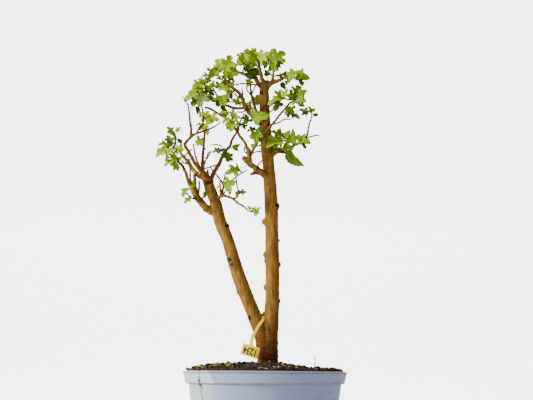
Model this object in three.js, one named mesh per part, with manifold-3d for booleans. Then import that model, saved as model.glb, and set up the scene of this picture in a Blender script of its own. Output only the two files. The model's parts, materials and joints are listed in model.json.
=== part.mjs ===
// White mulberry bonsai growing in a round plastic nursery pot, with a looped plastic tag.
// Millimetres, +Z up. The origin is the centre of the pot's flat underside, and the side that
// the photo shows faces -Y.
import * as THREE from 'three';
import { mergeVertices } from 'three/addons/utils/BufferGeometryUtils.js';
import Module from 'manifold-3d';

// Gap kept between pieces that touch
const seatGap = 0.4;

// Pot
const potHeight = 195;
const rimRadius = 119.5;
const bandDepth = 18;
const bandTaper = 2.5;
const bandStep = 5.5;
const footRadius = 87;
const footBevel = 3;
const potWall = 2.2;
const potFloor = 3;
const potSides = 30;
const drainHoles = 5;
const drainHoleRadius = 6;
const drainCircleRadius = 58;

// Soil
const soilEdgeHeight = 192.5;
const moundHeight = 13.5;
const grainRelief = 2.6;
const soilRings = 5;

// Tree
const trunkSides = 10;
const trunkSteps = 18;
const leftTrunkSteps = 12;
const shootHalfWidth = 0.75;

// Leaves: a blade is a thin arched body whose two faces are split into triangles alike
const bladeThickness = 0.66;
const bladeArch = 0.08;
const bladeFold = 0.2;
// How far the blades turn up from facing the front
const facingUp = 0.36;
const stalkHalfWidth = 0.6;
// Share of the way to the blades that the shoot covers before its stalks part
const shootShare = 0.6;
// How far a shoot's foot starts from the surface of its twig; what reaches in is cut away
const footDepth = -0.3;

// Tag
const tagLength = 26;
const tagWidth = 16.4;
const tagThickness = 0.9;
const tagCorner = 2;
const strapWidth = 3.8;
const strapThickness = 0.8;
const tagTopLeft = new THREE.Vector3(-30.5, -24, 234.5);
const tagAlong = new THREE.Vector3(24, -1.5, -7.4);
const tagDown = new THREE.Vector3(4.6, 0, -15.8);

// Dry stalk
const stalkRadius = 0.8;

// Half outlines of a leaf as [along, across], from its base at 0 to its tip at 1
const five = [[0, 0], [0.02, 0.37], [0.26, 0.17], [0.43, 0.5], [0.62, 0.42], [0.57, 0.15],
  [0.84, 0.2], [1, 0]];
const three = [[0, 0], [0.02, 0.27], [0.3, 0.45], [0.47, 0.18], [0.78, 0.21], [1, 0]];
const plain = [[0, 0], [0.12, 0.2], [0.44, 0.27], [0.78, 0.15], [1, 0]];

// Leaf colours
const bright = 0;
const green = 1;
const dark = 2;
const pale = 3;
const dry = 4;

// Trunks: axis points from the hidden foot upwards, and the radius at each
const mainTrunk = [
  [5, 1, 183], [5, 1, 205], [6, 1, 225], [7, 1, 249], [9, 0, 272], [10, -1, 298], [10, -2, 352],
  [9, -1, 397], [8, 1, 434], [6, 2, 471], [4, 2, 496], [1, 1, 527], [-1, 0, 558], [-3, 0, 586],
  [-4, 0, 612], [-4, 0, 626]];
const mainTrunkRadii = [17, 16, 13.2, 11, 10.2, 9.4, 9.5, 8.9, 9.2, 9, 8, 9, 7.2, 7.2, 7.1, 5.8];
const leftTrunk = [
  [2, 0, 193], [-1, 0, 222], [-6, -1, 248], [-15, -3, 272], [-26, -5, 298], [-42, -7, 339],
  [-57, -9, 387], [-68, -10, 413], [-75, -10, 441], [-85, -10, 466], [-88, -10, 480]];
const leftTrunkRadii = [13, 12, 11, 10, 9.2, 9, 8, 8.5, 7.8, 7.2, 7];

// Knobs and healed cuts as [x, y, z, radius]
const knobs = [
  [18, 0, 442, 3.6], [-3, -3, 418, 4.6], [-0.5, -3, 364, 4.6], [19, 1, 354, 4], [2, -2, 316, 4.2],
  [19, 1, 299, 3.8], [1, -3, 279, 4.8], [-7, -2, 569, 6.4], [-59, -9, 406, 3.8], [-52, -15, 357, 3.2],
  [-87, -10, 475, 8.6], [-9, -3, 616, 3.8]];

// Branches and twigs as [name, sides, radius at the root, radius at the end, axis points]
const limbs = [
  ['spur on the left head', 4, 3, 1.2, [[-87, -10, 474], [-88, -12, 484], [-88, -13, 493]]],
  ['low left branch', 6, 4.6, 3.0, [[-73, -9, 427], [-88, -11, 433], [-98, -14, 444],
    [-104, -17, 451], [-110, -21, 463], [-113, -24, 470]]],
  ['its left fork', 4, 2.1, 1.2, [[-112, -22, 465], [-116, -26, 472], [-120, -32, 485],
    [-125, -36, 494], [-129, -39, 498], [-133, -43, 505], [-139, -48, 514], [-135, -45, 524],
    [-135, -42, 539]]],
  ['its right fork', 4, 1.6, 1.1, [[-112, -22, 465], [-113, -22, 472], [-114, -18, 483],
    [-115, -14, 499]]],
  ['pale fork', 5, 2.4, 1.7, [[-98, -14, 443], [-101, -17, 450], [-106, -14, 464], [-108, -7, 481],
    [-109, -4, 487]]],
  ['pale fork side', 4, 1.3, 0.9, [[-102, -16, 453], [-100, -21, 464], [-100, -24, 474]]],
  ['pale fork thin', 3, 0.9, 0.7, [[-109, -6, 484], [-104, -12, 488], [-98, -17, 491]]],
  ['small left twig', 3, 1.0, 0.7, [[-103, -16, 447], [-109, -20, 447], [-114, -25, 450],
    [-119, -28, 454]]],
  ['small right twig', 3, 0.9, 0.7, [[-100, -14, 444], [-94, -20, 449], [-89, -24, 450]]],
  ['back left branch', 5, 3.2, 1.3, [[-89, -10, 476], [-95, -7, 481], [-103, 0, 487],
    [-111, 7, 496], [-117, 12, 505], [-122, 16, 513], [-128, 19, 520], [-133, 21, 527],
    [-132, 22, 537], [-132, 23, 547]]],
  ['back left side', 4, 1.4, 0.9, [[-117, 12, 507], [-127, 8, 508], [-130, 6, 511]]],
  ['back left stub', 4, 1.4, 1.0, [[-117, 12, 505], [-118, 8, 515]]],
  ['back left thin', 3, 0.9, 0.6, [[-126, 18, 519], [-120, 14, 526], [-114, 12, 530]]],
  ['long left branch', 5, 2.3, 0.9, [[-89, -12, 477], [-99, -17, 491], [-107, -20, 501],
    [-114, -23, 513], [-120, -25, 523], [-123, -26, 527], [-119, -27, 533], [-111, -28, 541],
    [-104, -28, 545], [-91, -28, 550], [-83, -27, 553], [-76, -26, 558], [-69, -25, 563]]],
  ['left riser', 4, 1.7, 0.7, [[-114, -27, 538], [-113, -31, 552], [-115, -33, 564],
    [-116, -34, 576], [-119, -33, 589], [-123, -32, 595], [-128, -31, 602]]],
  ['second riser', 4, 1.3, 0.8, [[-105, -28, 544], [-100, -31, 554], [-96, -32, 558],
    [-96, -35, 579], [-98, -36, 585]]],
  ['thin upright twig', 4, 1.3, 0.8, [[-90, -10, 477], [-100, -5, 497], [-107, 1, 513],
    [-111, 6, 530], [-112, 8, 537]]],
  ['pale upright twig', 5, 2.1, 1.3, [[-89, -10, 476], [-96, -12, 495], [-96, -10, 516],
    [-95, -7, 535], [-94, -4, 553], [-91, -2, 563]]],
  ['forked upright twig', 4, 1.5, 0.9, [[-89, -12, 480], [-94, -20, 493], [-92, -23, 502],
    [-89, -26, 509], [-87, -28, 518]]],
  ['its side', 3, 1.0, 0.7, [[-89, -25, 507], [-82, -32, 518]]],
  ['thin crossing twig', 3, 0.9, 0.6, [[-95, -12, 494], [-91, -4, 497], [-85, 1, 500],
    [-79, 4, 503], [-70, 7, 507]]],
  ['right upright branch', 5, 2.8, 1.2, [[-87, -9, 473], [-82, -5, 483], [-79, 0, 492],
    [-73, 7, 504], [-68, 13, 518], [-62, 18, 530], [-56, 21, 537], [-55, 23, 544], [-52, 25, 551],
    [-47, 28, 561], [-45, 30, 573]]],
  ['right twig', 5, 2.0, 0.9, [[-75, -10, 448], [-67, -20, 451], [-61, -26, 451], [-48, -33, 444],
    [-41, -38, 437], [-33, -42, 432], [-24, -47, 424], [-12, -52, 422]]],
  ['right twig riser', 4, 1.2, 0.6, [[-50, -32, 445], [-43, -30, 448], [-41, -28, 456],
    [-43, -27, 464], [-45, -26, 477]]],
  ['left thin riser', 3, 1.2, 0.8, [[-68, -19, 451], [-68, -22, 460], [-69, -26, 473]]],
  ['thin crossing riser', 4, 1.3, 0.6, [[-65, -21, 451], [-65, -17, 461], [-64, -14, 467],
    [-66, -11, 473], [-76, -1, 488], [-82, 3, 495], [-86, 5, 502]]],
  ['long thin twig', 4, 1.1, 0.6, [[-64, -15, 466], [-60, -20, 473], [-52, -24, 474],
    [-42, -28, 481], [-28, -32, 489]]],
  ['short thin twig', 3, 0.8, 0.5, [[-65, -12, 470], [-61, -14, 489]]],
  ['bud twig', 3, 0.8, 0.6, [[-64, -23, 451], [-61, -26, 457]]],
  ['low stub', 6, 4.0, 2.7, [[6, 2, 482], [-3, -4, 487], [-12, -9, 493], [-21, -13, 499],
    [-27, -15, 503], [-35, -18, 511]]],
  ['low stub side', 4, 2.0, 1.7, [[-11, -7, 489], [-18, -10, 488], [-24, -13, 486]]],
  ['low stub riser', 5, 2.5, 2.0, [[-24, -13, 499], [-25, -17, 510], [-27, -19, 517],
    [-27, -20, 525]]],
  ['inner left branch', 5, 2.0, 1.4, [[-27, -19, 517], [-32, -20, 532], [-40, -19, 543],
    [-46, -18, 553], [-57, -16, 566], [-68, -14, 576], [-77, -12, 582], [-86, -10, 588],
    [-94, -9, 591]]],
  ['bright crossing twig', 5, 1.8, 1.2, [[-25, -16, 510], [-21, -20, 520], [-15, -24, 530],
    [-7, -27, 542], [4, -28, 554], [14, -27, 567], [25, -24, 582], [31, -22, 590], [35, -20, 595],
    [44, -18, 601]]],
  ['its leftward end', 3, 0.9, 0.7, [[43, -18, 601], [34, -15, 602], [25, -12, 604]]],
  ['its upward end', 3, 0.9, 0.6, [[42, -18, 600], [44, -17, 609], [41, -15, 617]]],
  ['its right side twig', 4, 0.9, 0.7, [[8, -28, 559], [19, -32, 562], [25, -34, 565],
    [38, -37, 566]]],
  ['small upright stub', 3, 0.9, 0.8, [[-28, -18, 516], [-33, -16, 521], [-33, -14, 528]]],
  ['small level twig a', 3, 0.9, 0.7, [[-23, -19, 517], [-17, -18, 519], [-9, -16, 521]]],
  ['small level twig b', 3, 0.9, 0.7, [[-18, -23, 526], [-12, -26, 527], [-8, -28, 528]]],
  ['small slanting twig', 3, 0.9, 0.7, [[-15, -10, 495], [-11, -14, 502], [-6, -17, 507]]],
  ['right stub', 6, 3.8, 3.1, [[0, 0, 516], [9, 2, 521], [15, 4, 526], [20, 6, 530]]],
  ['right branch', 5, 2.0, 1.0, [[16, 5, 526], [26, 8, 525], [32, 9, 525], [41, 11, 536],
    [49, 12, 540], [56, 13, 547], [59, 13, 549], [63, 13, 554], [64, 13, 562], [66, 12, 571],
    [69, 11, 580], [70, 10, 593]]],
  ['right branch side', 3, 0.9, 0.6, [[59, 13, 548], [69, 16, 552], [81, 18, 555]]],
  ['right leaf shoot', 3, 1.0, 0.7, [[23, 7, 525], [27, 3, 534], [30, -1, 539]]],
  ['small front stub', 3, 1.2, 0.9, [[4, -4, 527], [9, -11, 531], [13, -14, 533]]],
  ['high left branch', 6, 3.2, 1.3, [[-4, 0, 569], [-15, -7, 572], [-27, -13, 583],
    [-33, -17, 591], [-37, -20, 601], [-42, -22, 610], [-53, -25, 618], [-60, -26, 626],
    [-64, -26, 633], [-65, -26, 640]]],
  ['its left side', 5, 2.0, 1.1, [[-33, -16, 589], [-41, -13, 588], [-51, -9, 590], [-59, -5, 594],
    [-70, 0, 600], [-77, 3, 605], [-85, 6, 610], [-91, 8, 612], [-94, 8, 621], [-96, 8, 632],
    [-93, 8, 640], [-84, 6, 645]]],
  ['its dark bud', 3, 1.0, 0.7, [[-77, 3, 605], [-78, 6, 616], [-83, 8, 626]]],
  ['thin rise a', 3, 1.0, 0.7, [[-36, -18, 595], [-37, -15, 609], [-38, -12, 621]]],
  ['thin rise b', 3, 0.9, 0.7, [[-38, -20, 602], [-45, -24, 604], [-51, -29, 611]]],
  ['thin rise c', 3, 0.9, 0.7, [[-35, -19, 597], [-42, -12, 597], [-48, -10, 599], [-56, -8, 599]]],
  ['thin rise d', 3, 0.9, 0.7, [[-30, -15, 587], [-36, -22, 580], [-45, -27, 579]]],
  ['thin rise e', 3, 1.0, 0.7, [[-43, -18, 548], [-40, -23, 564], [-34, -27, 576]]],
  ['high centre twig', 5, 2.1, 1.1, [[-5, 0, 578], [-15, 4, 587], [-20, 8, 603], [-23, 10, 613],
    [-25, 12, 625], [-26, 14, 635], [-28, 15, 645]]],
  ['its left side twig', 3, 1.0, 0.7, [[-21, 9, 607], [-24, 5, 614], [-29, 3, 619], [-32, 1, 625]]],
  ['its right side twig b', 3, 0.9, 0.7, [[-23, 11, 619], [-17, 17, 634]]],
  ['top left branch', 6, 3.3, 1.3, [[-4, 0, 615], [-7, 3, 624], [-14, 8, 636], [-19, 11, 644],
    [-26, 14, 646], [-33, 16, 650], [-41, 18, 654], [-47, 20, 657], [-52, 21, 666]]],
  ['top left riser', 4, 1.7, 1.0, [[-15, 9, 640], [-17, 9, 646], [-20, 8, 654]]],
  ['crown left riser', 3, 1.0, 0.7, [[-38, 18, 653], [-36, 14, 664], [-36, 12, 671]]],
  ['thin bud twig', 3, 1.0, 0.6, [[-9, 5, 627], [-15, 0, 629], [-23, -4, 629], [-37, -8, 629],
    [-48, -11, 626]]],
  ['top centre branch', 5, 3.0, 1.6, [[-4, 0, 616], [-4, -2, 630], [-8, -5, 639], [-10, -7, 648],
    [-12, -9, 657], [-12, -10, 664]]],
  ['top right branch', 6, 3.4, 1.4, [[-4, 0, 615], [0, -1, 624], [5, -3, 630], [12, -6, 632],
    [22, -9, 636], [28, -12, 638], [32, -14, 640]]],
  ['top right riser', 5, 2.1, 1.0, [[6, -3, 629], [9, -8, 638], [10, -11, 647], [8, -13, 657]]],
  ['top back riser', 4, 1.1, 0.8, [[10, -8, 640], [3, -2, 649], [5, 3, 663]]],
  ['right thin twig', 4, 1.1, 0.7, [[-3, 0, 588], [2, -8, 590], [7, -12, 594], [13, -15, 598],
    [22, -18, 600]]],
  ['right small twig', 3, 0.9, 0.7, [[-2, 0, 582], [5, 7, 588], [10, 10, 594]]],
];

// Sprays as [name, where the buds sit on a twig, leaves], and a leaf as
// [outline, base of the blade, tip of the blade, roll about that line in degrees, colour]
const sprays = [
  ['crown_mid', [-12, -10, 663], [
    [five, [-14, -7, 667], [-35, -20, 678], 10, bright],
    [five, [-12, -12, 667], [-8, -14, 682], -5, bright],
    [five, [-11, -20, 661], [3, -28, 673], 5, bright],
    [three, [-15, -20, 660], [-30, -30, 659], 20, bright],
  ]],
  ['crown_right', [8, -13, 656], [
    [five, [8, -27, 657], [27, -23, 675], 10, green],
    [three, [5, -12, 664], [12, -8, 686], 0, bright],
    [plain, [11, -18, 660], [24, -16, 663], 50, dark],
    [three, [9, -22, 658], [12, -30, 641], 0, green],
  ]],
  ['crown_back', [5, 2, 661], [
    [five, [1, 4, 669], [-6, 8, 683], -10, green],
    [five, [6, 6, 671], [20, 14, 681], 15, green],
    [three, [1, 8, 668], [-9, 16, 666], 20, dark],
  ]],
  ['crown_low', [-20, 8, 652], [
    [five, [-23, -2, 657], [-37, -7, 652], 10, dark],
    [five, [-22, 0, 655], [-28, -8, 639], 0, dark],
    [five, [-19, 14, 661], [-14, 20, 650], 0, dark],
    [three, [-20, 4, 661], [-22, 0, 671], 0, green],
    [five, [-23, 10, 664], [-42, 12, 666], 15, green],
  ]],
  ['crown_left', [-36, 12, 670], [
    [five, [-37, 7, 670], [-47, 3, 680], 0, bright],
    [five, [-34, 10, 673], [-33, 9, 690], 10, bright],
    [three, [-39, 10, 669], [-48, 8, 663], 10, bright],
    [three, [-33, 5, 671], [-22, -2, 680], 0, bright],
  ]],
  ['peak_left', [-65, -26, 638], [
    [five, [-63, -33, 641], [-55, -36, 665], 20, bright],
    [five, [-67, -22, 647], [-78, -20, 664], -10, bright],
    [five, [-60, -30, 640], [-43, -33, 635], 15, green],
    [five, [-63, -19, 648], [-52, -16, 662], 0, bright],
    [three, [-68, -28, 634], [-77, -32, 628], 30, green],
    [plain, [-64, -34, 640], [-61, -37, 627], 0, green],
  ]],
  ['arc_high', [-85, 6, 644], [
    [five, [-83, 2, 645], [-93, -5, 654], 15, bright],
    [three, [-81, 6, 648], [-76, 7, 663], 0, bright],
    [five, [-87, 2, 643], [-100, -5, 641], 20, bright],
  ]],
  ['arc_mid', [-96, 8, 634], [
    [five, [-97, 5, 636], [-108, 5, 639], 0, bright],
    [five, [-99, -4, 630], [-113, -15, 621], 5, bright],
    [three, [-95, 13, 635], [-91, 15, 644], 0, green],
  ]],
  ['arc_low', [-94, 8, 622], [
    [five, [-98, -5, 622], [-114, -15, 614], 5, bright],
    [five, [-98, 3, 618], [-118, -6, 607], 15, bright],
    [three, [-107, -10, 613], [-124, -20, 596], 20, bright],
    [five, [-94, -18, 609], [-102, -26, 587], 0, pale],
    [plain, [-104, -17, 595], [-116, -22, 582], 60, green],
    [five, [-91, 3, 620], [-85, 0, 632], 0, green],
    [five, [-91, 19, 622], [-81, 27, 621], 0, dark],
  ]],
  ['dark_bud', [-83, 8, 625], [
    [three, [-83, 5, 627], [-82, 1, 637], 0, bright],
    [five, [-80, 13, 628], [-68, 17, 636], 0, dark],
  ]],
  ['high_left', [-55, -26, 620], [
    [five, [-57, -19, 621], [-67, -12, 634], 0, dark],
    [three, [-53, -29, 619], [-49, -31, 628], 20, green],
    [five, [-57, -31, 615], [-73, -36, 610], 10, bright],
    [three, [-56, -27, 614], [-60, -27, 600], 0, green],
    [five, [-61, -10, 624], [-78, -5, 626], 10, dark],
  ]],
  ['side_low', [-75, 2, 604], [
    [five, [-70, -4, 611], [-64, -25, 590], 0, green],
    [plain, [-68, -8, 595], [-65, -12, 582], 0, dark],
    [three, [-74, 8, 605], [-74, 10, 596], 0, dark],
    [plain, [-83, 11, 610], [-89, 13, 607], 0, dark],
  ]],
  ['high_mid', [-35, -18, 593], [
    [five, [-39, -26, 590], [-53, -32, 597], 10, green],
  ]],
  ['centre_back', [-19, 8, 601], [
    [three, [-23, 13, 604], [-34, 18, 603], 0, bright],
    [five, [-16, 14, 604], [-14, 17, 619], 0, bright],
    [plain, [-20, 8, 595], [-28, 4, 590], 0, dark],
  ]],
  ['top_left_low', [-27, 15, 643], [
    [three, [-26, 8, 639], [-31, 4, 626], 0, bright],
    [three, [-28, 8, 643], [-35, 5, 646], 0, green],
  ]],
  ['trunk_front', [-14, -7, 572], [
    [three, [-21, -21, 573], [4, -37, 572], 35, green],
  ]],
  ['bright_mid', [-50, -18, 559], [
    [three, [-57, -27, 576], [-77, -31, 573], 45, bright],
    [five, [-52, -24, 572], [-50, -24, 584], 10, bright],
    [three, [-49, -29, 570], [-38, -32, 568], 0, bright],
    [five, [-54, -35, 566], [-66, -39, 558], 10, bright],
    [five, [-52, -33, 564], [-53, -40, 545], 0, bright],
  ]],
  ['dark_mid', [-44, 30, 572], [
    [five, [-40, 22, 574], [-46, 18, 566], 0, dark],
    [five, [-36, 17, 575], [-21, 11, 575], 0, green],
    [five, [-37, 22, 573], [-33, 26, 565], 0, dark],
    [three, [-34, 14, 577], [-31, 10, 586], 0, dark],
  ]],
  ['trunk_left', [-6, 0, 556], [
    [five, [-16, -4, 558], [-30, -6, 554], 20, dark],
    [three, [-14, -18, 556], [-5, -23, 551], 0, dark],
    [five, [-16, -24, 550], [-15, -29, 530], 0, green],
    [three, [-17, -16, 549], [-22, -18, 538], 0, green],
  ]],
  ['twig_small', [-18, -23, 527], [
    [plain, [-19, -28, 530], [-21, -39, 520], 20, green],
  ]],
  ['riser_high', [-96, -34, 569], [
    [three, [-97, -37, 568], [-101, -38, 577], 0, bright],
    [five, [-93, -27, 569], [-88, -25, 581], 0, bright],
    [five, [-88, -31, 569], [-71, -34, 564], 15, bright],
    [three, [-90, -36, 564], [-83, -38, 559], 0, bright],
  ]],
  ['riser_low', [-98, -32, 556], [
    [three, [-98, -27, 560], [-106, -28, 557], 20, bright],
    [three, [-95, -30, 563], [-99, -28, 569], 0, bright],
  ]],
  ['pale_top', [-92, -3, 561], [
    [five, [-93, -14, 564], [-96, -19, 551], 0, bright],
    [plain, [-90, -9, 555], [-89, -13, 545], 0, bright],
    [five, [-91, -10, 566], [-87, -14, 577], 0, bright],
  ]],
  ['left_top', [-135, -42, 537], [
    [five, [-139, -47, 540], [-147, -52, 549], 0, green],
    [five, [-134, -44, 543], [-127, -46, 550], 0, bright],
    [three, [-135, -51, 537], [-144, -55, 539], 0, green],
    [plain, [-132, -44, 533], [-126, -36, 528], 30, dark],
  ]],
  ['left_mid', [-136, -46, 521], [
    [five, [-141, -37, 525], [-149, -31, 541], 20, pale],
    [five, [-142, -51, 520], [-159, -59, 520], 30, bright],
    [five, [-144, -54, 514], [-162, -56, 502], 25, bright],
    [five, [-137, -64, 513], [-145, -64, 503], 0, bright],
    [three, [-142, -50, 508], [-147, -54, 496], 40, green],
    [five, [-134, -51, 518], [-121, -54, 513], 15, bright],
    [three, [-135, -48, 514], [-130, -45, 508], 0, green],
  ]],
  ['left_low', [-131, -41, 502], [
    [three, [-132, -53, 500], [-142, -50, 505], 0, bright],
    [five, [-135, -49, 499], [-149, -56, 488], 30, bright],
    [three, [-129, -43, 501], [-125, -41, 507], 0, bright],
    [five, [-131, -46, 496], [-135, -51, 483], 15, bright],
  ]],
  ['low_a', [-117, -27, 453], [
    [three, [-113, -39, 460], [-121, -54, 443], 35, green],
  ]],
  ['low_b', [-114, -25, 449], [
    [five, [-111, -31, 446], [-120, -36, 437], 20, green],
  ]],
  ['low_c', [-111, -22, 464], [
    [three, [-109, -29, 463], [-109, -30, 473], 50, bright],
  ]],
  ['low_d', [-90, -23, 450], [
    [three, [-90, -25, 451], [-90, -23, 462], 40, green],
    [plain, [-92, -29, 448], [-94, -31, 455], 40, green],
  ]],
  ['upright_leaf', [-112, 8, 535], [
    [five, [-108, 4, 537], [-93, 0, 544], 30, green],
  ]],
  ['branch_leaf', [-61, 19, 532], [
    [five, [-69, 0, 531], [-87, 1, 534], 55, dark],
    [five, [-64, 11, 530], [-75, 5, 521], 30, dark],
    [five, [-62, 9, 524], [-57, 2, 508], 0, dark],
    [plain, [-54, 21, 537], [-40, 31, 542], 60, green],
  ]],
  ['tuft', [-95, -8, 525], [
    [three, [-94, -13, 523], [-95, -15, 530], 0, dark],
  ]],
  ['right_a', [-63, -17, 470], [
    [five, [-61, -26, 462], [-45, -41, 469], 15, green],
    [three, [-55, -27, 462], [-53, -31, 451], 20, dark],
  ]],
  ['right_b', [-68, -23, 463], [
    [plain, [-68, -28, 465], [-74, -31, 460], 30, green],
  ]],
  ['right_c', [-27, -15, 502], [
    [five, [-39, -36, 489], [-59, -43, 480], 0, green],
  ]],
  ['right_d', [-41, -28, 456], [
    [five, [-40, -27, 455], [-29, -26, 456], 0, green],
    [plain, [-42, -34, 457], [-43, -39, 446], 40, dark],
  ]],
  ['right_end', [-14, -51, 422], [
    [five, [-14, -43, 425], [-22, -40, 431], 0, bright],
    [three, [-13, -52, 424], [-7, -61, 427], 0, bright],
    [five, [-13, -60, 420], [-17, -61, 414], 0, bright],
    [plain, [-23, -58, 424], [-27, -57, 431], 30, green],
  ]],
  ['top_right_a', [23, -9, 636], [
    [three, [24, -12, 639], [12, -13, 640], 10, dark],
    [three, [26, -6, 642], [30, -4, 651], 0, dark],
  ]],
  ['top_right_b', [31, -13, 639], [
    [five, [32, -31, 633], [49, -38, 639], 15, green],
    [three, [46, -22, 640], [65, -30, 630], 25, green],
    [three, [31, -24, 634], [34, -31, 623], 0, green],
  ]],
  ['top_right_c', [3, -2, 628], [
    [three, [2, 13, 641], [0, 17, 631], 0, dark],
    [three, [1, 12, 647], [-3, 14, 658], 0, dark],
  ]],
  ['dry_leaf', [19, -8, 635], [
    [plain, [22, -13, 630], [29, -17, 617], 30, dry],
  ]],
  ['star_leaf', [26, -12, 604], [
    [five, [23, -11, 607], [11, -18, 614], 0, bright],
    [five, [25, -17, 605], [32, -22, 617], 0, bright],
    [three, [22, -17, 602], [2, -27, 590], 30, bright],
  ]],
  ['right_high', [43, -18, 601], [
    [five, [39, -6, 607], [36, -13, 619], 0, green],
    [three, [37, -22, 602], [29, -25, 606], 0, green],
    [five, [46, -13, 607], [49, -5, 628], 15, green],
    [five, [47, -21, 605], [59, -23, 612], 10, green],
    [five, [46, -23, 598], [60, -28, 596], 10, green],
    [plain, [49, -20, 595], [58, -23, 589], 40, dark],
    [three, [43, -25, 596], [38, -28, 589], 0, green],
  ]],
  ['right_dark', [30, -22, 589], [
    [five, [31, -33, 585], [41, -39, 573], 0, dark],
    [three, [32, -31, 583], [28, -36, 572], 0, green],
    [plain, [39, -24, 579], [40, -26, 569], 0, dark],
    [plain, [42, -29, 576], [50, -33, 567], 40, dark],
    [plain, [27, -27, 589], [19, -29, 585], 50, green],
  ]],
  ['branch_top', [70, 10, 590], [
    [five, [66, 12, 590], [45, 5, 589], 55, green],
    [three, [70, 5, 588], [64, 2, 596], 0, green],
    [three, [71, 13, 591], [76, 14, 596], 0, green],
    [plain, [71, 13, 586], [81, 16, 587], 40, dark],
  ]],
  ['branch_low', [30, -1, 538], [
    [five, [27, -9, 539], [0, -24, 526], 25, bright],
    [five, [27, 0, 546], [7, -9, 553], 25, green],
    [plain, [28, -7, 544], [36, -13, 555], 25, bright],
    [five, [31, -5, 541], [54, -11, 545], 25, green],
    [three, [50, -8, 542], [67, -15, 534], 15, green],
    [three, [26, -9, 532], [41, -15, 524], 20, green],
  ]],
  ['drooping_leaf', [27, 8, 526], [
    [plain, [30, 0, 526], [56, -8, 500], 35, dark],
  ]],
  ['stub_leaf', [15, 4, 526], [
    [three, [17, -4, 530], [8, -8, 529], 25, green],
  ]],
];

// The strap's route from the tag's head, up the front, through the fork between the two trunks
// and back behind the left one
const strapRoute = [
  [-19, -24.6, 228.5], [-17, -23.6, 240], [-10, -18.5, 257], [-2.4, -12, 267.5], [-2.3, -2, 272.4],
  [-5, 9, 270], [-13, 15, 259], [-21, 12, 247], [-24.5, 1, 238], [-24.5, -13, 232.5]];

const stalkRoute = [[72, -20, 186], [72.4, -20, 205], [71.6, -20.4, 217]];

const wasm = await Module();
wasm.setup();

// A geometry as a manifold-3d solid
function solidOf(geometry) {
  geometry.deleteAttribute('normal');
  geometry.deleteAttribute('uv');
  const merged = mergeVertices(geometry, 1e-4);
  return new wasm.Manifold(new wasm.Mesh({
    numProp: 3,
    vertProperties: merged.attributes.position.array,
    triVerts: new Uint32Array(merged.index.array),
  }));
}

// A manifold-3d solid as a named mesh
function meshOf(name, solid, material) {
  const { vertProperties, triVerts } = solid.getMesh();
  const geometry = new THREE.BufferGeometry();
  geometry.setAttribute('position', new THREE.BufferAttribute(vertProperties, 3));
  geometry.setIndex(new THREE.BufferAttribute(triVerts, 1));
  geometry.computeVertexNormals();
  const mesh = new THREE.Mesh(geometry, material);
  mesh.name = name;
  return mesh;
}

function joined(solids) {
  return solids.reduce((all, one) => all.add(one));
}

function largestBody(solid) {
  return solid.decompose().reduce((best, one) => (one.volume() > best.volume() ? one : best));
}

// The same value for the same place in the sequence, between 0 and 1
function seeded(seed) {
  let state = seed;
  return () => {
    state = (Math.imul(state, 1664525) + 1013904223) >>> 0;
    return state / 4294967296;
  };
}

function vector(point) {
  return new THREE.Vector3(...point);
}

// Reads a list of values at a share of its length
function along(values, share) {
  const place = share * (values.length - 1);
  const first = Math.min(Math.floor(place), values.length - 2);
  return THREE.MathUtils.lerp(values[first], values[first + 1], place - first);
}

// A closed, tapering round body along a smooth line through the points
function limbGeometry(points, radii, sides, steps, grow = 0) {
  const curve = new THREE.CatmullRomCurve3(points.map(vector), false, 'centripetal');
  const frames = curve.computeFrenetFrames(steps, false);
  const positions = [];
  const index = [];
  for (let step = 0; step <= steps; step += 1) {
    const share = curve.getUtoTmapping(step / steps);
    const centre = curve.getPoint(share);
    const radius = along(radii, share) + grow;
    for (let side = 0; side < sides; side += 1) {
      const angle = (2 * Math.PI * side) / sides;
      const ring = centre.clone()
        .addScaledVector(frames.normals[step], radius * Math.cos(angle))
        .addScaledVector(frames.binormals[step], radius * Math.sin(angle));
      positions.push(ring.x, ring.y, ring.z);
      if (step < steps) {
        const here = step * sides + side;
        const next = step * sides + ((side + 1) % sides);
        index.push(here, next, here + sides, next, next + sides, here + sides);
      }
    }
  }
  for (let side = 1; side < sides - 1; side += 1) index.push(0, side + 1, side);
  const last = steps * sides;
  const tip = curve.getPoint(1).addScaledVector(frames.tangents[steps], 0.6 * radii.at(-1) + grow);
  positions.push(tip.x, tip.y, tip.z);
  for (let side = 0; side < sides; side += 1) {
    index.push(last + side, last + ((side + 1) % sides), last + sides);
  }
  const geometry = new THREE.BufferGeometry();
  geometry.setAttribute('position', new THREE.Float32BufferAttribute(positions, 3));
  geometry.setIndex(index);
  return geometry;
}

function knobSolid([x, y, z, radius], grow) {
  return solidOf(new THREE.IcosahedronGeometry(radius + grow, 0).translate(x, y, z));
}

// Long limbs get fewer rings than points
function stepsOf(points) {
  return Math.ceil(0.72 * (points.length - 1));
}

// The whole tree's wood, grown outwards by a margin where it is used to keep others clear
function woodSolid(grow) {
  const trunks = [
    solidOf(limbGeometry(mainTrunk, mainTrunkRadii, trunkSides, trunkSteps, grow)),
    solidOf(limbGeometry(leftTrunk, leftTrunkRadii, trunkSides, leftTrunkSteps, grow)),
  ];
  const branches = limbs.map(([, sides, root, end, points]) => (
    solidOf(limbGeometry(points, [root, end], sides, stepsOf(points), grow))));
  return joined([...trunks, ...knobs.map((knob) => knobSolid(knob, grow)), ...branches]);
}

// How far a point lies from the surface of the wood, by its axes
const woodSamples = [
  [mainTrunk, mainTrunkRadii], [leftTrunk, leftTrunkRadii],
  ...limbs.map(([, , root, end, points]) => [points, [root, end]]),
].flatMap(([points, radii]) => {
  const curve = new THREE.CatmullRomCurve3(points.map(vector), false, 'centripetal');
  const count = Math.ceil(curve.getLength());
  return Array.from({ length: count + 1 }, (_, step) => {
    const share = curve.getUtoTmapping(step / count);
    return { centre: curve.getPoint(share), radius: along(radii, share) };
  });
});

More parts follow.
